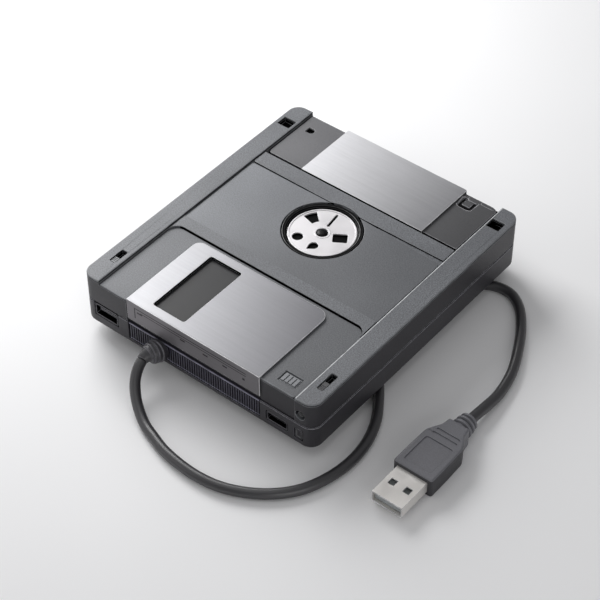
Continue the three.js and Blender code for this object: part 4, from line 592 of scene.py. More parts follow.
def lathe(bm, profile, centre, steps=48, axis=(0, 0, 1)):
    """A turned body: the profile is (radius, height) along the axis from centre."""
    axis = Vector(axis)
    side = axis.orthogonal().normalized()
    centre = Vector(centre)
    verts = [bm.verts.new(centre + side * r + axis * h) for r, h in profile]
    edges = [bm.edges.new(pair) for pair in zip(verts, verts[1:])]
    if profile[0][0] > 0 and profile[-1][0] > 0:
        edges.append(bm.edges.new((verts[-1], verts[0])))
    bmesh.ops.spin(
        bm, geom=verts + edges, cent=centre, axis=axis, angle=math.tau, steps=steps, use_merge=True
    )
    bmesh.ops.remove_doubles(bm, verts=bm.verts, dist=1e-4)


def turned(
    name, node, looks, profile, centre, steps=32, edge=0.05, segments=1, axis=(0, 0, 1),
):
    """A piece that is turned on one axis."""
    bm = bmesh.new()
    lathe(bm, profile, centre, steps, axis)
    piece(name, bm, node, looks, edge, segments)


def rings(bm, stations, sides=24):
    """A closed skin through rings given as (centre, direction, radius or a function of the turn)."""
    before = lean = None
    for k, (centre, direction, radius) in enumerate(stations):
        centre = Vector(centre)
        direction = Vector(direction).normalized()
        lean = direction.orthogonal() if lean is None else lean - direction * lean.dot(direction)
        lean.normalize()
        turn = Matrix((lean, direction.cross(lean), direction)).transposed().to_4x4()
        verts = bmesh.ops.create_circle(
            bm, cap_ends=k in (0, len(stations) - 1), segments=sides, radius=1.0,
            matrix=Matrix.Translation(centre) @ turn,
        )["verts"]
        for j, vert in enumerate(verts):
            reach = radius(math.tau * (j / sides + 0.25)) if callable(radius) else radius
            vert.co = centre + (vert.co - centre) * reach
        ring = list(dict.fromkeys(edge for vert in verts for edge in vert.link_edges))
        if before:
            bmesh.ops.bridge_loops(bm, edges=before + ring)
        before = ring


# Cord and its ends

CORD_RADIUS = 1.9
CORD_ROUTE = [
    (-16.66, -67.83, 10.87), (-16.3, -69.8, 9.93), (-15.5, -72.0, 8.6), (-14.2, -74.2, 7.1),
    (-11.8, -76.8, 5.25), (-8.9, -79.1, 3.75), (-5.4, -81.3, 2.6), (-1.6, -83.3, 2.0),
    (4.0, -85.4, 1.95), (10.0, -87.4, 1.95), (18.6, -88.8, 1.95), (27.2, -89.0, 1.95),
    (35.4, -87.6, 1.95), (43.4, -84.1, 1.95), (50.4, -79.0, 1.95), (56.0, -72.2, 1.95),
    (59.6, -63.4, 1.95), (61.2, -53.6, 1.95), (60.4, -43.6, 1.95), (57.0, -33.6, 1.95),
    (51.4, -24.6, 1.95), (44.6, -15.4, 1.95), (38.8, -5.4, 1.95), (35.4, 5.6, 1.95),
    (34.8, 17.0, 1.95), (37.2, 28.4, 1.95), (42.4, 38.2, 1.95), (49.6, 44.4, 1.95),
    (57.2, 45.4, 1.95), (63.6, 41.6, 1.95), (69.6, 34.2, 1.95), (75.4, 23.8, 1.95),
    (80.0, 12.8, 1.95), (82.2, 1.6, 2.2), (82.4, -7.4, 3.3), (82.2, -14.7, 4.0),
]


def through(points, per=8):
    """A smooth curve through the points, closer together where they are."""
    pts = [Vector(p) for p in points]
    pts = [pts[0] * 2 - pts[1], *pts, pts[-1] * 2 - pts[-2]]
    out = []
    for i in range(1, len(pts) - 2):
        a, b, c, d = pts[i - 1:i + 3]
        knots = [0.0]
        for p, q in ((a, b), (b, c), (c, d)):
            knots.append(knots[-1] + (q - p).length ** 0.5)
        for k in range(per):
            t = knots[1] + (knots[2] - knots[1]) * k / per

            def mix(p, q, lo, hi):
                return p * ((hi - t) / (hi - lo)) + q * ((t - lo) / (hi - lo))

            ab = mix(a, b, knots[0], knots[1])
            bc = mix(b, c, knots[1], knots[2])
            cd = mix(c, d, knots[2], knots[3])
            abc = mix(ab, bc, knots[0], knots[2])
            out.append(mix(abc, mix(bc, cd, knots[1], knots[3]), knots[1], knots[2]))
    return [*out, pts[-2]]


def make_cord():
    path = [p * MM for p in through(CORD_ROUTE)]
    curve = bpy.data.curves.new("cord", "CURVE")
    curve.dimensions = "3D"
    spline = curve.splines.new("POLY")
    spline.points.add(len(path) - 1)
    for point, place in zip(spline.points, path):
        point.co = (*place, 1.0)
    spline.use_smooth = True
    curve.bevel_depth = CORD_RADIUS * MM
    curve.bevel_resolution = 6
    curve.use_fill_caps = True
    curve.materials.append(CORD)
    cord = bpy.data.objects.new("cord_run", curve)
    bpy.context.scene.collection.objects.link(cord)
    length = sum((b - a).length for a, b in zip(path, path[1:]))
    return cord, path, length


cord_run, cord_path, cord_length = make_cord()


def bezier(a, b, c, d, t):
    s = 1 - t
    return a * s ** 3 + b * (3 * s * s * t) + c * (3 * s * t * t) + d * t ** 3


def boot():
    """The strain relief: a wide base, a second ring, then a long taper along the cord's bend."""
    root = Vector((-15.6, -60.45, 6.2))
    bend = [root, *(Vector(p) for p in ((-15.6, -63.08, 6.6), (-16.975, -64.27, 7.0), (-16.7, -66.9, 6.0)))]
    stages = [
        (0, 4.3), (0.09, 4.28), (0.11, 4.0), (0.24, 4.0), (0.26, 3.8), (0.29, 3.8), (0.31, 3.95),
        (0.44, 3.8), (0.46, 3.5), (0.49, 3.5), (0.51, 3.6), (0.6, 3.35), (0.62, 2.8), (0.8, 2.3), (1, 1.98),
    ]
    straight = ((-55.5, 2.2), (-59.1, 2.2), (-59.15, 4.0), (-59.35, 4.25))
    stations = [((root.x, y, root.z), (0, -1, 0), radius) for y, radius in straight]

    def station(t, radius, near=1e-3):
        way = bezier(*bend, min(1, t + near)) - bezier(*bend, max(0, t - near))
        stations.append((bezier(*bend, t), way, radius))

    for (t0, r0), (t1, r1) in zip(stages, stages[1:]):
        count = max(2, round((t1 - t0) * 14))
        for k in range(count):
            station(t0 + (t1 - t0) * k / count, r0 + (r1 - r0) * k / count)
    station(*stages[-1])
    bm = bmesh.new()
    rings(bm, stations, 28)
    piece("cord_boot", bm, "strain_relief", [BOOT, CORD_EDGE], 0.16, limit=40)


boot()


def plug(x=82.2, z=-1.0, thick=4.0):
    """The moulded grip: three neck ribs, a flat body with a sunk bare panel and two slots."""
    half = [
        (4.1, -20.7, 0.8), (4.6, -24.4, 3), (6.3, -27.2, 3), (7.5, -29.6, 3), (7.75, -38, 0),
        (7.75, -47, 0.9),
    ]
    plan = outline([*((-u, y, r) for u, y, r in half), *half[::-1]], 5)
    holes = [
        rectangle((-5.5, 5.5), (-44.6, -31.8), 1.1, 5),
        rectangle((-4.7, 4.7), (-27.6, -26.7), 0.44, 4),
        rectangle((-4.9, 4.9), (-29.6, -28.7), 0.44, 4),
    ]
    bm = bmesh.new()
    pierced(bm, plan, holes, (-thick, thick))
    bmesh.ops.recalc_face_normals(bm, faces=bm.faces)
    flattened(bm)

    def brim(middle, way):
        beyond_panel = middle.y < -44.7 or middle.y > -26.6 or (abs(middle.x) > 5.0 and middle.y > -31.7)
        return abs(way.z) < 0.1 and abs(middle.z) > thick - 0.1 and (abs(middle.x) > 5.6 or beyond_panel)

    ease(bm, brim, 0.7, 0, 4)
    tinted(bm, lambda m, n: abs(n.z) < 0.3 and (abs(m.x) > 5.6 or m.y < -44.7), 2)
    slab(bm, [(u * 0.93, -33 + (y + 33) * 0.95) for u, y in plan], (0.4 - thick, thick - 0.4))
    neck = [
        (-14.4, 2.0), (-14.55, 2.9), (-14.9, 3.35), (-15.5, 3.35), (-15.8, 2.9), (-15.9, 2.3), (-16.3, 2.3),
        (-16.4, 3.1), (-16.75, 3.7), (-17.4, 3.75), (-17.75, 3.2), (-17.85, 2.6), (-18.3, 2.6), (-18.4, 3.3),
        (-18.75, 3.85), (-19.5, 3.9), (-19.85, 3.4), (-19.95, 3.0), (-21.5, 3.0),
    ]
    rings(bm, [((0, at, 0), (0, -1, 0), r) for at, r in neck], 28)
    bmesh.ops.translate(bm, verts=bm.verts, vec=(x, 0, z))
    looks = [GRIP, GRIP_EDGE, GRIP_SIDE]
    return piece("plug_grip", bm, "plug_overmould", looks, 0.12, 2, limit=40)


plug_grip = plug()
plug_shell = dressed("plug_shell", [PLUG_METAL, POLISHED_EDGE], 0.15)
plug_tongue = dressed("plug_tongue", [LENS], 0.1)

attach(cord_run, "case")
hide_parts("cord")


# The lid

TOPS, EASED, ROLLED, SKIRT, HIGHLIGHT_LINE, SHADED, PLATE, SUNK_FLOOR = range(8)
LID_LOOKS = [LID, LID_EDGE, LID_ROLL, SIDE, RAIL_HIGHLIGHT, GAP, PANEL, SUNK]
SLOT_CORNERS = (0.3, 0.6)
LEFT_SLOTS = (((-49.45, -44.15), (45.6, 50.2)), ((-47.45, -44.85), (-48.6, -41.8)))
RIGHT_SLOTS = (((43.65, 48.95), (47.5, 52.1)), ((45.7, 48.3), (-51, -42.7)))
WINDOW_PIT = ((-23.3, 8.4), (-56.5, -23.5))
FOLD_PIT = ((-26, 24), (-22.3, -21.1))
MARK_PIT = ((32.7, 40.0), (-55.0, -50.1))
LENS_X = 45.3
LENS_Z = 14.2
BLOCK_FRONT = -58.3
BAR_FOOT = 18.6


def concave(s, reach=4, steps=7):
    """The curve where a crossbar flows into a rail, seen from above."""
    points = [
        (s * (GROOVE - reach + reach * math.cos(t)), FRONT_BAR - reach + reach * math.sin(t), 0)
        for t in (math.radians(90 * k / steps) for k in range(steps + 1))
    ]
    return points if s < 0 else points[::-1]


def on_hub(angles):
    return [(HUB_HOLE * math.sin(t), HUB_Y + HUB_HOLE * math.cos(t)) for t in angles]


def outside(m):
    """Whether a point in the case's frame lies on the case's outer skin."""
    return abs(m.x) > HALF - 0.1 or abs(m.y) > REAR - 0.1 or (
        abs(m.x) > HALF - CORNER and abs(m.y) > REAR - CORNER
    )


def skirt():
    """The lid's walls and ceiling, with room for all that is sunk in them."""
    low = CAP_SEAM[0]
    bm = blocks(
        ("+", (-HALF, HALF), (FRONT, REAR), (PARTING_HIGH, low)),
        ("-", *INSIDE, (PARTING_HIGH, UNDERSIDE)),
        ("-", (-RAIL, RAIL), (FRONT, -18), (GROOVE_FLOOR, low)),
        ("-", (-RAIL, RAIL), (REAR_BAR[1], REAR), (REAR_FLOOR, low)),
        ("-", (-30.5, RAIL), (FRONT, -58.1), (PARTING_HIGH, low)),
        ("+", (28.6, RAIL), (BLOCK_FRONT, -58.1), (PARTING_HIGH, GROOVE_FLOOR)),
        ("-", (-26.5, RAIL), (58.1, REAR), (17.6, low)),
        ("-", *REAR_MOUTH, (PARTING_HIGH, 17.9)),
        ("-", (-HUB_PIT, HUB_PIT), (HUB_Y - HUB_PIT, HUB_Y + HUB_PIT), (UNDERSIDE, low)),
        ("-", *WINDOW_PIT, (19.0, GROOVE_FLOOR)),
        ("-", *FOLD_PIT, (BAR_FOOT, GROOVE_FLOOR)),
        ("-", *MARK_PIT, (19.0, GROOVE_FLOOR)),
        *(("-", *slot, (BAR_FOOT, low)) for slot in LEFT_SLOTS + RIGHT_SLOTS),
    )
    hole = bmesh.new()
    lathe(hole, [(0, 0), (1.95, 0), (1.95, 3), (0, 3)], (LENS_X, FRONT - 0.4, LENS_Z), 32, (0, 1, 0))
    carved(bm, hole)
    trim_corners(bm, CORNER)
    return bm


def front_floor(bm):
    """The floor of the front recess, with its rolled front edge."""
    def plan(d):
        return outline([
            (-GROOVE, FRONT + d, 0), (-30.5, FRONT + d, 0), (-30.5, BLOCK_FRONT + d, 0),
            (GROOVE, BLOCK_FRONT + d, 1.2), (GROOVE, FRONT_BAR - 0.4, 3.9), (-GROOVE, FRONT_BAR - 0.4, 3.9),
        ])

    levels = [
        (plan(0), 19.15), (plan(0), 19.3), (plan(0.1), 19.5), (plan(0.22), 19.7), (plan(0.5), RECESS),
    ]
    holes = [rectangle(*pit) for pit in (WINDOW_PIT, FOLD_PIT, MARK_PIT)]
    shaped(bm, levels, holes, (SKIRT, SKIRT, ROLLED, ROLLED))


def rail_top(s, slots, inset=0.5):
    """A rail's top: a sunk neck painted black as shade, and a cap with rolled edges on it."""
    neck_zs = (RECESS, CAP_SEAM[1] + 0.18)
    bm = blocks(
        ("+", sorted((s * (RAIL + inset), s * (HALF - inset))), (FRONT + inset, REAR - inset), neck_zs),
        *(("-", *slot, neck_zs) for slot in slots),
    )
    trim_corners(bm, CORNER, inset)
    # Painted shade: the whole neck is black, the shadow line under the cap.
    tinted(bm, lambda m, n: True, SHADED)

    def plan(d, e):
        points = outline([
            (RAIL + e, FRONT + d, 0), (HALF - d, FRONT + d, CORNER - d), (HALF - d, REAR - d, CORNER - d),
            (RAIL + e, REAR - d, 0),
        ], 12)
        return [(s * p[0], p[1]) for p in points]

    foot = CAP_SEAM[1]
    levels = [
        (plan(0.1, 0.1), foot), (plan(0, 0), foot + 0.1), (plan(0, 0), 20.64), (plan(0.05, 0.05), 20.8),
        (plan(0.15, 0.16), 20.93), (plan(0.34, 0.36), TOP - 0.01), (plan(0.36, 0.54), TOP),
    ]
    holes = [rectangle(*slot, radius) for slot, radius in zip(slots, SLOT_CORNERS)]
    cap = bmesh.new()
    shaped(cap, levels, holes, (SKIRT, SKIRT, ROLLED, ROLLED, ROLLED, TOPS))
    # Painted light and shade: the right rail's inner top edge gets a bright painted highlight, and the left
    # rail's inner wall is painted black as shade.
    if s > 0:
        tinted(cap, lambda m, n: m.x < RAIL + 0.5 and m.z > 20.6 and abs(m.y) < 55, HIGHLIGHT_LINE)
    else:
        tinted(cap, lambda m, n: n.x > 0.9, SHADED)
    added(bm, cap)
    return bm


def middle(bm):
    """The two crossbars, and the panel between them round the hub's hole."""
    corner = (GROOVE, PANEL_FRONT, 0)
    slab(bm, outline([*concave(-1), *concave(1), corner, (-GROOVE, PANEL_FRONT, 0)]), (BAR_FOOT, BAR_TOP))
    meet = math.acos(((PANEL_REAR + REAR_BAR[0]) / 2 - HUB_Y) / HUB_HOLE)
    plan = [
        *outline([(-GROOVE, PANEL_FRONT, 0), corner, (GROOVE, PANEL_REAR, 2.2)]),
        *on_hub(meet + (math.tau - 2 * meet) * k / 64 for k in range(65)),
        *outline([(0, PANEL_REAR, 0), (-GROOVE, PANEL_REAR, 1.2), (-GROOVE, 0, 0)])[1:-1],
    ]
    slab(bm, plan, (BAR_FOOT, PANEL_TOP))
    rim = on_hub(-meet + 2 * meet * k / 12 for k in range(13))
    low, high = REAR_BAR
    slab(bm, [(-GROOVE, low), *rim, (GROOVE, low), (GROOVE, high), (-GROOVE, high)], (BAR_FOOT, BAR_TOP))


def lid():
    """The lid: rails, crossbars, centre panel and sunk ends on one skirt."""
    bm = skirt()
    front_floor(bm)
    for s, slots in ((-1, LEFT_SLOTS), (1, RIGHT_SLOTS)):
        added(bm, rail_top(s, slots))
    middle(bm)

    def wall(m, n, zs, hit):
        return abs(n.z) < 0.3 and zs[0] < m.z < zs[1] and hit

    def level(m, n, z):
        return n.z > 0.9 and abs(m.z - z) < 0.02 and abs(m.x) < RAIL

    # Painted shade: the floors of the sunk pits and ends, the walls of the rails' slots and the walls at the
    # foot of the crossbars are black where shade falls.
    for look, test in (
        (SKIRT, lambda m, n: wall(m, n, (0, 19.7), outside(m) or abs(m.y) > 57.9 or m.z < UNDERSIDE)),
        (SHADED, lambda m, n: 17.9 < m.z < 19.3 and n.z > 0.5),
        (SHADED, lambda m, n: wall(m, n, (BAR_FOOT, 20), 43.2 < abs(m.x) < 50.4)),
        (SHADED, lambda m, n: wall(m, n, (19, 20.4), -20 < m.y < -16.5)),
        (SHADED, lambda m, n: wall(m, n, (18, 20.4), PANEL_REAR - 0.1 < m.y < REAR_BAR[0] + 0.1)),
        (PLATE, lambda m, n: level(m, n, PANEL_TOP)),
        (SUNK_FLOOR, lambda m, n: level(m, n, RECESS)),
        (SKIRT, lambda m, n: n.z < -0.5),
    ):
        tinted(bm, test, look)
    # Painted shade: the lid's lower outer edge is rolled over in black, a shadow line along the parting.
    ease(bm, lambda m, w: m.z < PARTING_HIGH + 0.01 and abs(w.z) < 0.1 and outside(m), 0.4, SHADED, 2)
    piece("lid_moulding", bm, "upper_shell", LID_LOOKS, 0.14)


lid()


def mark_plate():
    """A small bare plate with four ribs, sunk in the lid."""
    bm = blocks(
        ("+", (33.0, 39.7), (-54.7, -50.4), (19.2, 19.4)),
        *(("+", (33.35 + 1.55 * k, 34.6 + 1.55 * k), (-54.3, -50.8), (19.2, 19.78)) for k in range(4)),
    )
    piece("mark_plate", bm, "mark_inlay", [LID_ROLL, LID_EDGE], 0.1, 2)


mark_plate()


def window_tray():
    """The smooth dark tray under the shutter's window."""
    bm = blocks(
        ("+", (-23, 8.1), (-56.2, -23.8), (19.2, 19.7)),
        ("-", (-22.4, 7.5), (-55.6, -24.4), (19.3, 19.7)),
    )
    piece("window_tray", bm, "window_inlay", [TRAY, DARK_EDGE], 0.06, 2)


window_tray()


def rear_cover():
    """The smooth rear plate with a D-shaped hole on the left and a finger catch on the right."""
    low, high = 19.2, 20.0
    bm = blocks(
        ("+", (-42.2, 42.2), (31.7, 57.8), (low, high)),
        ("-", (-39.2, -36.0), (49.2, 52.0), (low, high)),
        ("-", (28.6, 34.6), (50.8, 56.0), (low + 0.15, high)),
    )
    round_corners(bm, [(42.2, 57.8)], 3.0)
    round_corners(bm, [(-42.2, 31.7)], 1.5)
    round_corners(bm, [(-36, 49.2), (-36, 52)], 1.35, 5)
    round_corners(bm, [(28.6, 50.8), (34.6, 50.8)], 1.6, 6)
    # Painted light and shade: the catch's pocket and the plate's front face are black as shade, and the
    # catch's top edges are rolled over in a bright painted highlight.
    tinted(bm, lambda m, n: 19.3 < m.z < 19.9 and n.z > -0.5 and 28 < m.x < 35 and m.y < 57, 2)
    tinted(bm, lambda m, n: n.y < -0.5 and m.y < 32, 2)
    ease(bm, lambda m, w: m.z > 19.99 and abs(w.z) < 0.1 and 28 < m.x < 35 and 50.75 < m.y < 55.5, 0.4, 3, 3)

    def mound(xs, ys, radius, top, roll):
        levels = (0, low + 0.1), (0, top - roll), (roll * 0.3, top - roll * 0.3), (roll, top)
        shaped(
            bm,
            [(rectangle((xs[0] + d, xs[1] - d), (ys[0] + d, ys[1] - d), radius - d), z) for d, z in levels],
            [], (0, 0, 0),
        )

    mound((30.0, 34.9), (55.2, 57.8), 1.2, 20.22, 0.5)
    mound((35.3, 41.0), (56.0, 57.7), 0.8, 20.18, 0.4)
    mound((29.9, 33.3), (52.3, 55.6), 0.6, 19.85, 0.3)
    looks = [REAR_PLATE, CATCH_EDGE, BLACK, CATCH_RIM]
    piece("rear_cover", bm, "rear_panel", looks, 0.16)


rear_cover()


# The lower shell

def lower_shell():
    """The tray: floor and walls, with the cut-outs of both ends and the screws' sunk places."""
    screws = [(-44.8, -44), (44.8, -44), (-30, 52), (30, 52)]
    reach = 2.6
    bm = blocks(
        ("+", (-HALF, HALF), (FRONT, REAR), (0, PARTING_LOW)),
        ("-", *INSIDE, (1.8, PARTING_LOW)),
        ("-", (-30.3, 28.3), (FRONT, -57), (1.6, PARTING_LOW)),
        ("-", (-46.1, -34.9), (FRONT, -57), (3.7, PARTING_LOW)),
        ("-", (30.8, 40.2), (FRONT, -57), (2.5, 7.1)),
        ("-", (42.8, 46.6), (FRONT, -57), (2.3, 7.2)),
        ("-", *REAR_MOUTH, (2.7, PARTING_LOW)),
        *(("-", (x - reach, x + reach), (y - reach, y + reach), (0, 1.6)) for x, y in screws),
    )
    trim_corners(bm, CORNER)
    ease(bm, lambda m, w: m.z < 0.01 and abs(w.z) < 0.1 and outside(m), 0.9, 0, 4)
    # Painted highlight: the outer top edge and the lower edge of the grille's opening are rolled over in a
    # bright finish.
    ease(bm, lambda m, w: m.z > PARTING_LOW - 0.01 and abs(w.z) < 0.1 and outside(m), 0.34, 2, 2)
    ease(bm, lambda m, w: abs(w.x) > 0.9 and m.y < -58.9 and 1.5 < m.z < 1.7 and abs(m.x) < 31, 0.25, 2, 2)
    ease(bm, lambda m, w: abs(w.y) > 0.9 and 42.7 < m.x < 46.7 and 2 < m.z < 7.5, 1.2, 0, 4)
    ease(bm, lambda m, w: abs(w.y) > 0.9 and 30.7 < m.x < 40.3 and 2 < m.z < 7.5, 0.7, 0, 4)
    signs = (-1, 1)
    corners = [(x + a * reach, y + b * reach) for x, y in screws for a in signs for b in signs]
    round_corners(bm, corners, reach - 0.01, 6, zs=(0, 1.7))
    piece("shell_tray", bm, "lower_shell", [SHELL, SHELL_EDGE, PARTING_HIGHLIGHT], 0.2)


lower_shell()


# Shutters and hub

def front_shutter():
    """The folded front shutter, with its window's rim turned down into the lid."""
    xs, ys = (SHUTTER_LEFT, SHUTTER_RIGHT), (-58.9, -21.4)
    window = (-21.5, -7.4), (-55.2, -24.8)
    bm = blocks(
        ("+", xs, ys, (20.1, 20.6)),
        ("+", xs, (-58.9, -58.4), (11.6, 20.6)),
        ("+", (-25.2, 9.3), (-21.9, -21.4), (18.9, 20.6)),
        ("+", (-21.85, -7.05), (-55.5, -24.5), (19.45, 20.1)),
        ("-", *window, (19.45, 20.6)),
    )
    trim_corner(bm, (xs[0], ys[1]), (-1, 1), 3.0)
    trim_corner(bm, (xs[1], ys[1]), (1, 1), 4.2)
    round_corners(bm, [(x, y) for x in window[0] for y in window[1]], 1.0, 5)
    # Painted shade: the window's turned-down rim and the inner faces of its opening are black.
    tinted(bm, lambda m, n: -22 < m.x < -7 and -55.6 < m.y < -24.4 and (abs(n.z) < 0.3 or m.z < 20), 2)
    tinted(bm, lambda m, n: n.y < -0.9 and m.y < -58, 3)
    looks = [SHUTTER, BRUSHED_EDGE, BLACK, FOLD]
    piece("front_shutter_plate", bm, "front_shutter", looks, 0.14)


def rear_shutter():
    xs = (-26.2, 27.8)
    bm = blocks(
        ("+", xs, (30.9, 58.9), (20.3, 20.8)),
        ("+", xs, (30.9, 31.4), (19.2, 20.8)),
        ("+", xs, (58.4, 58.9), (18.2, 20.8)),
    )
    round_corners(bm, [(x, 58.9) for x in xs], 0.49, 4)
    # Painted shade: the front face of the turned-down edge is black, the shadow line in the gap before the
    # crossbar.
    tinted(bm, lambda m, n: n.y < -0.9 and m.y < 31, 2)
    looks = [REAR_SHUTTER, BRUSHED_EDGE, GAP]
    piece("rear_shutter_plate", bm, "rear_shutter", looks, 0.14)


def engraving(look):
    """A thin line round the fold's left end and along its top, and a few small dashes."""
    x, z = (look.node("SeparateXYZ", {"Vector": look.at()}).outputs[name] for name in ("X", "Z"))
    z = look.maths("SUBTRACT", z, CASE.z)

    def all_of(how, values):
        out = values[0]
        for value in values[1:]:
            out = look.maths(how, out, value)
        return out

    def box(xs, zs):
        return all_of("MULTIPLY", [
            look.maths(how, value, end) for value, span in ((x, xs), (z, zs))
            for how, end in zip(("GREATER_THAN", "LESS_THAN"), span)
        ])

    return all_of("MAXIMUM", [box(*mark) for mark in (
        ((-26.8, -26.35), (13.6, 18.5)), ((-26.8, 22.5), (18.1, 18.5)), ((-24.0, 22.5), (17.05, 17.4)),
        ((-25.6, -23.2), (16.4, 17.1)), ((-6.2, -4.0), (16.0, 16.7)), ((3.8, 6.0), (15.4, 16.1)),
        ((12.4, 14.4), (15.6, 16.3)), ((21.0, 22.0), (14.8, 15.8)),
    )])


# The front and rear shutters' slopes of tone are painted reflection, lighter towards the lamps on the left.
SHUTTER = brushed("front_shutter_metal", "a6a6a9", "6c6c70", (1, 0.45, 0), (-52, 16), rough=0.46)
REAR_SHUTTER = brushed("rear_shutter_metal", "d6d6d9", "929295", (1, -0.2, 0), (-36, 18))
FOLD = brushed("shutter_fold_metal", "747175", "757376", marks=engraving)
front_shutter()
rear_shutter()


def polar(radius, degrees):
    return radius * math.cos(math.radians(degrees)), radius * math.sin(math.radians(degrees))


def circle(x, y, radius, steps=32):
    turns = (math.tau * k / steps for k in range(steps))
    return [(x + radius * math.cos(t), y + radius * math.sin(t)) for t in turns]


def turned_box(x, y, width, length, turn, radius):
    way = Matrix.Rotation(math.radians(turn), 2)
    signs = ((-1, -1), (1, -1), (1, 1), (-1, 1))
    corners = [way @ Vector((u * width / 2, v * length / 2)) for u, v in signs]
    return outline([(x + c.x, y + c.y, radius) for c in corners], 4)


def hub_holes(r):
    """The disc's own pattern: a centre hole, a sector, a bar, a block, a round hole and a drop."""
    arc = [138 + 27 * k / 10 for k in range(11)]
    sector = [*(polar(0.887 * r, t) for t in arc), *(polar(0.484 * r, t) for t in arc[::-1])]
    round_share, tip_share = 0.137, 0.242
    x, y = polar(0.589 * r, -76.5)
    tip = polar(tip_share * r, -110)
    spread = math.degrees(math.acos(round_share / tip_share))
    turns = [spread - 110 + (360 - 2 * spread) * k / 20 for k in range(21)]
    drop = [tip, *(polar(round_share * r, turn) for turn in turns)]
    return [
        circle(0, 0, 2.2),
        outline([(*point, 0) for point in sector]),
        turned_box(*polar(0.5885 * r, 98), 0.565 * r, 0.081 * r, 98, 0.35),
        turned_box(*polar(0.556 * r, 13.4), 0.427 * r, 0.355 * r, 33, 0.5),
        circle(*polar(0.718 * r, 230.6), 0.161 * r, 28),
        [(x + u, y + v) for u, v in drop],
    ]


def hub(r=12.4, low=18.5, top=19.05):
    """The pierced disc, the black dish that it turns in, and its pin."""
    bm = bmesh.new()
    pierced(bm, circle(0, 0, r, 96), hub_holes(r), (low, top))
    foot = top - 0.2
    lathe(bm, [(r - 0.75, foot), (r - 0.1, foot), (r - 0.1, top + 0.2), (r - 0.7, top + 0.2)], (0, 0, 0), 96)
    lathe(bm, [(2.25, foot), (3.1, foot), (3.0, top + 0.12), (2.3, top + 0.12)], (0, 0, 0), 48)
    bmesh.ops.translate(bm, verts=bm.verts, vec=(0, HUB_Y, 0))
    piece("hub_plate", bm, "hub_disc", [HUB, POLISHED_EDGE], 0.07, 2)
    turned(
        "hub_dish", "hub_ring", [RING, BLACK_EDGE],
        [
            (2.2, 17.6), (13.6, 17.6), (13.6, 19.2), (HUB_PIT, 19.2), (HUB_PIT, 19.9), (14.2, 20.15),
            (13.3, 20.1), (12.7, 19.7), (12.7, 18.2), (2.2, 18.2),
        ],
        (0, HUB_Y, 0), 96, 0.1, 2,
    )
    turned(
        "hub_centre_pin", "hub_pin", [BLACK, BLACK_EDGE],
        [(0, 17.6), (1.9, 17.6), (1.9, 18.95), (1.6, 19.2), (0.9, 19.3), (0, 19.3)], (0, HUB_Y, 0), 40, 0,
    )


RING = moulded("ring_black", "020203", "040405", 0.5, depth=0.002, strength=0.1, shine=0.05)
HUB = metal("hub_metal", "d5d3d5", "dfdddf", 0.35, 16.0, 0.4)
hub()


# The front face

def grille(pitch=1.05, width=0.5, count=55, xs=(-30, 28), back=-57.2):
    """A ribbed strip between two ledges, on a dark backing."""
    start = (xs[0] + xs[1] - (count - 1) * pitch - width) / 2
    ribs = [(start + k * pitch, start + k * pitch + width) for k in range(count)]
    bm = blocks(
        ("+", xs, (-57.8, back), (1.9, 9.5)),
        ("+", xs, (-58.9, back), (8.9, 9.5)),
        ("+", xs, (-58.6, back), (1.9, 2.3)),
        *(("+", rib, (-58.75, back), (1.9, 9.5)) for rib in ribs),
    )
    tinted(bm, lambda m, n: m.y > -57.9 and n.y < -0.5, 2)
    # Painted highlight: the front edges of both ledges are rolled over in a bright finish.
    ease(bm, lambda m, w: abs(w.x) > 0.9 and m.y < -58.85 and m.z > 9.4, 0.34, 3, 2)
    ease(bm, lambda m, w: abs(w.x) > 0.9 and m.y < -58.55 and 2.2 < m.z < 2.4, 0.2, 3, 2)
    piece("vent_fins", bm, "vent_grille", [FINS, FINS_EDGE, BLACK, LEDGE_HIGHLIGHT], 0.08, 2)


FINS = moulded("fin_plastic", "333138", "3a3840", 0.35, grain=0.4, depth=0.01, strength=0.2, shine=0.4)
FINS_EDGE = wear_and_highlight("fin_edge", "66657a", 0.3)
# A bright painted highlight along the grille's ledges.
LEDGE_HIGHLIGHT = wear_and_highlight("ledge_highlight", "aaa8bb", 0.4)
grille()


def socket(name, node, xs, zs, wall, tongue, radius):
    """A framed socket with its contact tongue."""
    low, high = -58.9, -49.9
    bm = blocks(
        ("+", xs, (low, high), zs),
        ("-", (xs[0] + wall, xs[1] - wall), (low, high - 1), (zs[0] + wall, zs[1] - wall)),
        ("+", (xs[0] + wall + 1, xs[1] - wall - 1), (low + 0.9, high - 0.5), tongue),
    )

    def corner(m, w):
        return abs(w.y) > 0.9 and min(abs(m.x - x) for x in xs) < wall + 0.1

    ease(bm, corner, radius)
    tinted(bm, lambda m, n: m.y > low + 0.3 and n.y > -0.95, 2)
    piece(name, bm, node, [GUNMETAL, GUNMETAL_EDGE, BLACK], 0.1, 2)


socket("left_socket", "left_port", (-45.8, -35.2), (4.0, 9.4), 0.55, (6.2, 7.3), 0.35)
socket("right_socket", "right_port", (31.1, 39.9), (2.8, 6.8), 0.5, (4.4, 5.2), 0.4)


# Small pieces outside

def status_light():
    """The smoked light in the lid's front, and the post that feeds it."""
    bm = bmesh.new()
    lathe(
        bm, [(0, 0.1), (0.8, 0.16), (1.3, 0.4), (1.65, 0.9), (1.65, 11.55), (0, 11.55)],
        (LENS_X, FRONT + 0.1, LENS_Z), 32, (0, 1, 0),
    )
    added(bm, blocks(("+", (LENS_X - 1, LENS_X + 1), (-48.9, -47.35), (3.7, LENS_Z))))
    piece("status_light", bm, "light_pipe", [SMOKED], 0.05, 1)


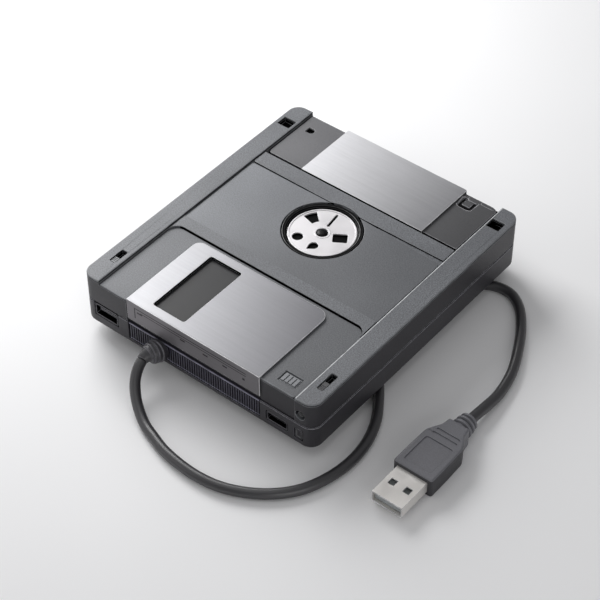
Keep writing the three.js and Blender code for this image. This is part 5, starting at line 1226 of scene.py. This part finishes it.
def button(name, node, looks, steps, radius, xs, zs):
    """A moulded button whose long edges, along y, are rounded."""
    def corner(m, w):
        away = max(min(abs(m.x - x) for x in xs), min(abs(m.z - z) for z in zs))
        return abs(w.y) > 0.9 and away < 0.01

    bm = blocks(*steps)
    ease(bm, corner, radius, 0, 5)
    piece(name, bm, node, looks, 0.16)


def tab(name, node, x, ys, looks):
    """A small sliding tab with grip lines across its top."""
    low, high = ys
    top = 20.7
    lines = [low + 0.55 + 0.65 * k for k in range(3)]
    bm = blocks(
        ("+", (x - 1.95, x + 1.95), (low - 0.3, high + 0.3), (19, 19.6)),
        ("+", (x - 1, x + 1), ys, (19, top)),
        *(("-", (x - 1, x + 1), (line, line + 0.25), (top - 0.2, top)) for line in lines),
    )
    piece(name, bm, node, looks, 0.07, 2)


def foot(name, node, x, y):
    profile = [
        (0, -4.5), (2.5, -4.5), (2.9, -5), (3.6, -5), (4.0, -4.7), (4.15, -3.2), (4.0, -3.0), (4.02, -2.7),
        (4.2, -2.5), (4.45, -0.6), (4.45, -0.3), (1.6, -0.3), (1.6, 0.9), (0, 0.9),
    ]
    turned(name, node, [RUBBER], profile, (x, y, 0), 40, 0.08, 2)


def screw(name, node, x, y, top, pitch=0.7):
    """A pan-head screw with a cross in its head and rings of thread on its shank."""
    turns = range(int((top - 2.2) / pitch))
    thread = [(r, 1.9 + pitch * k + dz) for k in turns for r, dz in ((0.82, 0), (1.0, pitch / 2))]
    bm = bmesh.new()
    lathe(
        bm,
        [
            (0, 0.2), (1.6, 0.2), (2.1, 0.45), (2.3, 0.8), (2.3, 1.3), (1.0, 1.3), (1.0, 1.7),
            *thread, (0.7, top), (0, top),
        ],
        (x, y, 0), 24,
    )
    carved(bm, blocks(*(
        ("+", (x - a, x + a), (y - b, y + b), (-1, 0.75)) for a, b in ((1.25, 0.27), (0.27, 1.25))
    )))
    piece(name, bm, node, [STEEL, STEEL_EDGE], 0.05, 1)


status_light()
button(
    "setup_key", "setup_button", [DARK_KEY, DARK_EDGE],
    [
        ("+", (43.1, 46.3), (-58.9, -54.3), (2.6, 6.9)), ("+", (42.5, 46.9), (-56.7, -55.9), (2.1, 7.5)),
        ("-", (43.85, 45.55), (-58.9, -58.72), (3.35, 6.15)),
    ],
    0.9, (43.1, 46.3), (2.6, 6.9),
)
button(
    "eject_key", "eject_button", [SHELL, SHELL_EDGE],
    [
        ("+", (36, 44), (52, 60.2), (5.6, 8.8)),
        *(("-", (36.8, 43.2), (60.0, 60.2), (6.2 + 0.8 * k, 6.5 + 0.8 * k)) for k in range(3)),
    ],
    0.6, (36, 44), (5.6, 8.8),
)
tab("left_slide", "left_tab", -46.15, (-48.3, -45.7), [GREY, GREY_EDGE])
tab("right_slide", "right_tab", 47.0, (-50.7, -46.8), [DARK, DARK_EDGE])
for side, s in (("left", -1), ("right", 1)):
    foot("front_foot_" + side, "foot_front_" + side, s * 36.5, -47)
    foot("rear_foot_" + side, "foot_rear_" + side, s * 38, 50)
    screw("front_screw_" + side, "screw_front_" + side, s * 44.8, -44, 14.95)
    screw("rear_screw_" + side, "screw_rear_" + side, s * 30, 52, 6.0)


# The motor and the head's drive

SPINDLE = Vector((0, 9.1, 0))
BRONZE = metal("bearing_bronze", "8c6a3c", "a07c49", 0.35, 0.6)


def stator():
    """Twelve iron poles, each with its turns of copper."""
    bm = bmesh.new()
    lathe(bm, [(9, 3.9), (12.2, 3.9), (12.2, 6.05), (9, 6.05)], SPINDLE)

    def bar(turn, out, width, length, radius, zs):
        x, y = polar(out, turn)
        slab(bm, turned_box(x, y + SPINDLE.y, width, length, turn, radius), zs)

    poles = range(0, 360, 30)
    for turn in poles:
        bar(turn, 15.2, 7, 2.4, 0.15, (4.4, 5.5))
        bar(turn, 18.5, 0.9, 5.6, 0.15, (4.1, 5.8))
    tinted(bm, lambda m, n: True, 1)
    for turn in poles:
        for k in range(7):
            bar(turn, 12.95 + 0.72 * k, 0.62, 4.0, 0.12, (3.75, 6.15))
    piece("stator_coils", bm, "motor_stator", [COPPER, STEEL], 0.06, 1)


def spindle():
    """The flat motor: rotor with its drive pin, shaft, bearing and stator."""
    bm = bmesh.new()
    lathe(
        bm,
        [
            (2.3, 6.55), (19.6, 6.55), (19.6, 4.2), (20.6, 4.2), (20.6, 7.0), (20.2, 7.4), (19.0, 7.4),
            (18.8, 7.25), (14.2, 7.25), (14.0, 7.4), (13.0, 7.4), (12.4, 8.0), (12.4, 9.7), (12.2, 9.9),
            (11.7, 9.9), (11.6, 9.65), (4.2, 9.65), (4.1, 9.9), (2.3, 9.9),
        ],
        SPINDLE, 96,
    )
    lathe(bm, [(0, 9.3), (1, 9.3), (1, 10.5), (0.8, 10.7), (0, 10.7)], SPINDLE + Vector((9.5, 0, 0)), 20)
    piece("chuck_rotor", bm, "spindle_rotor", [STEEL, STEEL_EDGE], 0.08, 2)
    turned(
        "spindle_pin", "spindle_shaft", [POLISHED, POLISHED_EDGE],
        [(0, 3.7), (2, 3.7), (2, 10.6), (1.7, 11.0), (1.2, 11.2), (0, 11.2)], SPINDLE,
    )
    turned(
        "bearing_sleeve", "spindle_bearing", [BRONZE],
        [(2.3, 3.7), (4, 3.7), (4, 4.3), (3.5, 4.6), (3.5, 6.25), (2.3, 6.25)], SPINDLE, 40, 0.06,
    )
    stator()


def lead_thread(x=-25, z=7.55, pitch=0.2):
    """The screw that drives the head: one groove winding along it."""
    def winding(turn):
        return lambda t: 0.89 + 0.11 * math.cos(t - turn)

    ways = [(-46.3, 0.8), (-45.6, 0.85)]
    ways += [(-45.5 + pitch * k, winding(math.tau * k / 10)) for k in range(127)]
    ways += [(-19.4, 0.8)]
    bm = bmesh.new()
    rings(bm, [((x, y, z), (0, 1, 0), radius) for y, radius in ways], 20)
    piece("lead_thread", bm, "lead_screw", [STEEL], 0)


def coil(name, node, x, z=16.4, length=8.6, turns=9, steps=14):
    """An eject spring wound of wire."""
    count = turns * steps
    stations = []
    for k in range(count + 1):
        t = math.tau * k / steps
        rise = length * steps / count / math.tau * min(1, k / steps, (count - k) / steps)
        centre = (x + math.cos(t), -45.15 + length * k / count, z + math.sin(t))
        stations.append((centre, (-math.sin(t), rise, math.cos(t)), 0.19))
    bm = bmesh.new()
    rings(bm, stations, 8)
    piece(name, bm, node, [STEEL], 0)


def head(name, node, zs, up):
    """A head's slider: two rails with a slot between them on its face to the disk."""
    low, high = zs
    face = (high - 0.3, high) if up else (low, low + 0.3)
    bm = blocks(
        ("+", (-2, 2), (-32.4, -28.4), zs),
        ("-", (-2, 2), (-32.4, -28.4), face),
        ("+", (-1.8, -0.35), (-32.2, -28.6), face),
        ("+", (0.35, 1.8), (-32.2, -28.6), face),
    )
    piece(name, bm, node, [DARK, DARK_EDGE], 0.06, 1)


spindle()
ALONG = (0, 1, 0)
turned(
    "head_rail", "guide_rod", [POLISHED],
    [(0, 0), (0.8, 0), (1, 0.25), (1, 36.95), (0.8, 37.2), (0, 37.2)], (13, -56.6, 7.55), axis=ALONG,
)
turned(
    "stepper_can", "stepper_motor", [STEEL, STEEL_EDGE],
    [
        (0, 0), (1.6, 0), (1.7, 0.5), (4.6, 0.5), (5, 0.9), (5, 4.5), (4.8, 4.6), (4.8, 5.0), (5, 5.1),
        (5, 9.0), (4.6, 9.4), (1.8, 9.4), (1.7, 9.9), (0, 9.9),
    ],
    (-25, -56.5, 7.55), 48, axis=ALONG,
)
lead_thread()
coil("left_coil", "eject_spring_left", -36)
coil("right_coil", "eject_spring_right", 36)
head("lower_slider", "lower_head", (9.1, 10.8), True)
head("upper_slider", "upper_head", (15.77, 17.2), False)


# Boards and sheet metal

def chip(name, node, xs, ys, pins):
    """A flat package with a row of legs on each side."""
    bm = blocks(("+", (xs[0] + 0.9, xs[1] - 0.9), (ys[0] + 0.9, ys[1] - 0.9), (3.78, 4.3)))
    lathe(bm, [(0, 4.2), (0.35, 4.2), (0.35, 4.32), (0, 4.32)], (xs[0] + 1.9, ys[0] + 1.9, 0), 16)
    body = len(bm.faces)
    span = xs[1] - xs[0] - 2.6
    for k in range(pins):
        along = 1.3 + span * k / (pins - 1)
        leg = [(low + along - 0.12, low + along + 0.12) for low in (xs[0], ys[0])]
        for low, high in ((0, 1.1), (-1.1, 0)):
            end = low < 0
            slab(bm, rectangle((xs[end] + low, xs[end] + high), leg[1]), (3.7, 3.95))
            slab(bm, rectangle(leg[0], (ys[end] + low, ys[end] + high)), (3.7, 3.95))
    coated(bm, body, 1)
    piece(name, bm, node, [CHIP, STEEL], 0.04, 1)


def board(name, node, parts, top=3.4):
    """A board's CAD shape with small soldered parts on it."""
    bm = bmesh.new()
    bm.from_mesh(frame["nodes"][node].data)
    bmesh.ops.transform(bm, matrix=TO_ROW.inverted(), verts=bm.verts)
    bmesh.ops.remove_doubles(bm, verts=bm.verts, dist=0.002)
    flattened(bm)
    for x, y, width, length, height, look in parts:
        bare = len(bm.faces)
        plan = rectangle((x - width / 2, x + width / 2), (y - length / 2, y + length / 2))
        slab(bm, plan, (top, top + height))
        coated(bm, bare, look)
    piece(name, bm, node, [BOARD, BOARD_EDGE, CHIP, CERAMIC, STEEL], 0.05, 1)


def ribbon():
    """Sixteen wires side by side, with a stiff strip at each end."""
    bm = bmesh.new()
    for k in range(16):
        rings(bm, [((22.5 + k, y, 3.92), (0, 1, 0), 0.17) for y in (-41.8, -33)], 8)
    slab(bm, rectangle((22.2, 37.8), (-41.6, -33.2)), (3.86, 3.96))
    for ys in ((-41.8, -40.4), (-34.4, -33)):
        slab(bm, rectangle((22, 38), ys, 0.2, 3), (3.7, 4.1))
    piece("ribbon_strip", bm, "ribbon_cable", [GREY], 0.03, 1)


BOARD_EDGE = wear_and_highlight("board_edge", "8fa08a", 0.5)
CHIP = moulded("chip_plastic", "161618", "1e1e20", 0.5, grain=0.2, depth=0.006, strength=0.3)
CERAMIC = moulded("ceramic_part", "a08a6a", "b8a07c", 0.4, grain=0.2, depth=0.003, strength=0.2)
chip("main_chip", "controller_chip", (24, 36), (-24.4, -12.4), 16)
chip("port_chip", "usb_chip", (23.5, 30.5), (-49.3, -42.3), 9)
DARK_PART, CERAMIC_PART, METAL_PART = 2, 3, 4
board("mechanism_board", "main_board", [
    *((38 + 1.9 * (k % 3), -30 + 2.6 * (k // 3), 1.0, 1.8, 0.5, DARK_PART + k % 2) for k in range(24)),
    *((-40 + 2.2 * k, -32, 1.2, 2.2, 0.6, CERAMIC_PART) for k in range(8)),
    (-36, 40, 9, 4, 0.8, DARK_PART), (40, 36, 4, 7, 0.8, METAL_PART),
])
board("port_board", "interface_board", [
    *((-8 + 2.1 * k, -44, 1.0, 1.8, 0.5, DARK_PART + k % 2) for k in range(12)),
    (8, -49, 3.4, 3.4, 0.8, METAL_PART), (-12, -41, 5, 2, 0.8, DARK_PART),
])
ribbon()

DRESS = {
    "rear_bezel": ("shell", [SHELL, SHELL_EDGE], 0.2),
    "dust_flap": ("dark", [DARK, DARK_EDGE], 0.1),
    "setup_switch": ("grey", [GREY, GREY_EDGE], 0.15),
    "chassis": ("steel", [STEEL, STEEL_EDGE], 0.1),
    "disk_holder": ("steel", [STEEL, STEEL_EDGE], 0.1),
    "eject_slider": ("steel", [STEEL, STEEL_EDGE], 0.1),
    "latch_lever": ("steel", [STEEL, STEEL_EDGE], 0.15),
    "head_carriage": ("grey", [GREY, GREY_EDGE], 0.15),
    "head_arm": ("grey", [GREY, GREY_EDGE], 0.1),
    "track_sensor": ("dark", [DARK, DARK_EDGE], 0.12),
    "disk_switch": ("dark", [DARK, DARK_EDGE], 0.12),
    "cable_socket": ("lens", [IVORY], 0.12),
}
for node, (slot, looks, edge) in DRESS.items():
    dressed(node, looks, edge)


# Floor and light

def stage():
    """The pale floor, the room's soft light and five soft lamps round the object."""
    bpy.ops.mesh.primitive_plane_add(size=4)
    floor = bpy.context.object
    floor.name = "floor"
    look = Finish("floor_paper", "f4f4f5", 0.9)
    look.set("Base Color", look.blend(look.noise(60.0, 1.0), paint("f2f2f3"), paint("f6f6f7")))
    floor.data.materials.append(look.material)
    world = bpy.data.worlds.new("room")
    bpy.context.scene.world = world
    world.use_nodes = True
    room = world.node_tree.nodes["Background"].inputs
    room["Color"].default_value = (0.95, 0.95, 0.96, 1)
    room["Strength"].default_value = 0.28
    for name, place, size, power in (
        ("window_left", (-0.30, 0.10, 0.25), 0.26, 1.6),
        ("window_far", (-0.75, 0.25, 0.22), 0.55, 1.6),
        ("front_left", (-0.42, -0.5, 0.3), 0.4, 0.4),
        ("right_side", (0.7, -0.4, 0.3), 0.5, 1.1),
        ("ceiling", (0.0, -0.15, 0.6), 0.4, 0.3),
    ):
        lamp = bpy.data.objects.new(name, bpy.data.lights.new(name, "AREA"))
        bpy.context.scene.collection.objects.link(lamp)
        lamp.data.size = size
        lamp.data.energy = power
        lamp.location = place
        lamp.rotation_euler = (-Vector(place)).to_track_quat("-Z", "Y").to_euler()
    bpy.context.scene.view_settings.view_transform = "Standard"


stage()
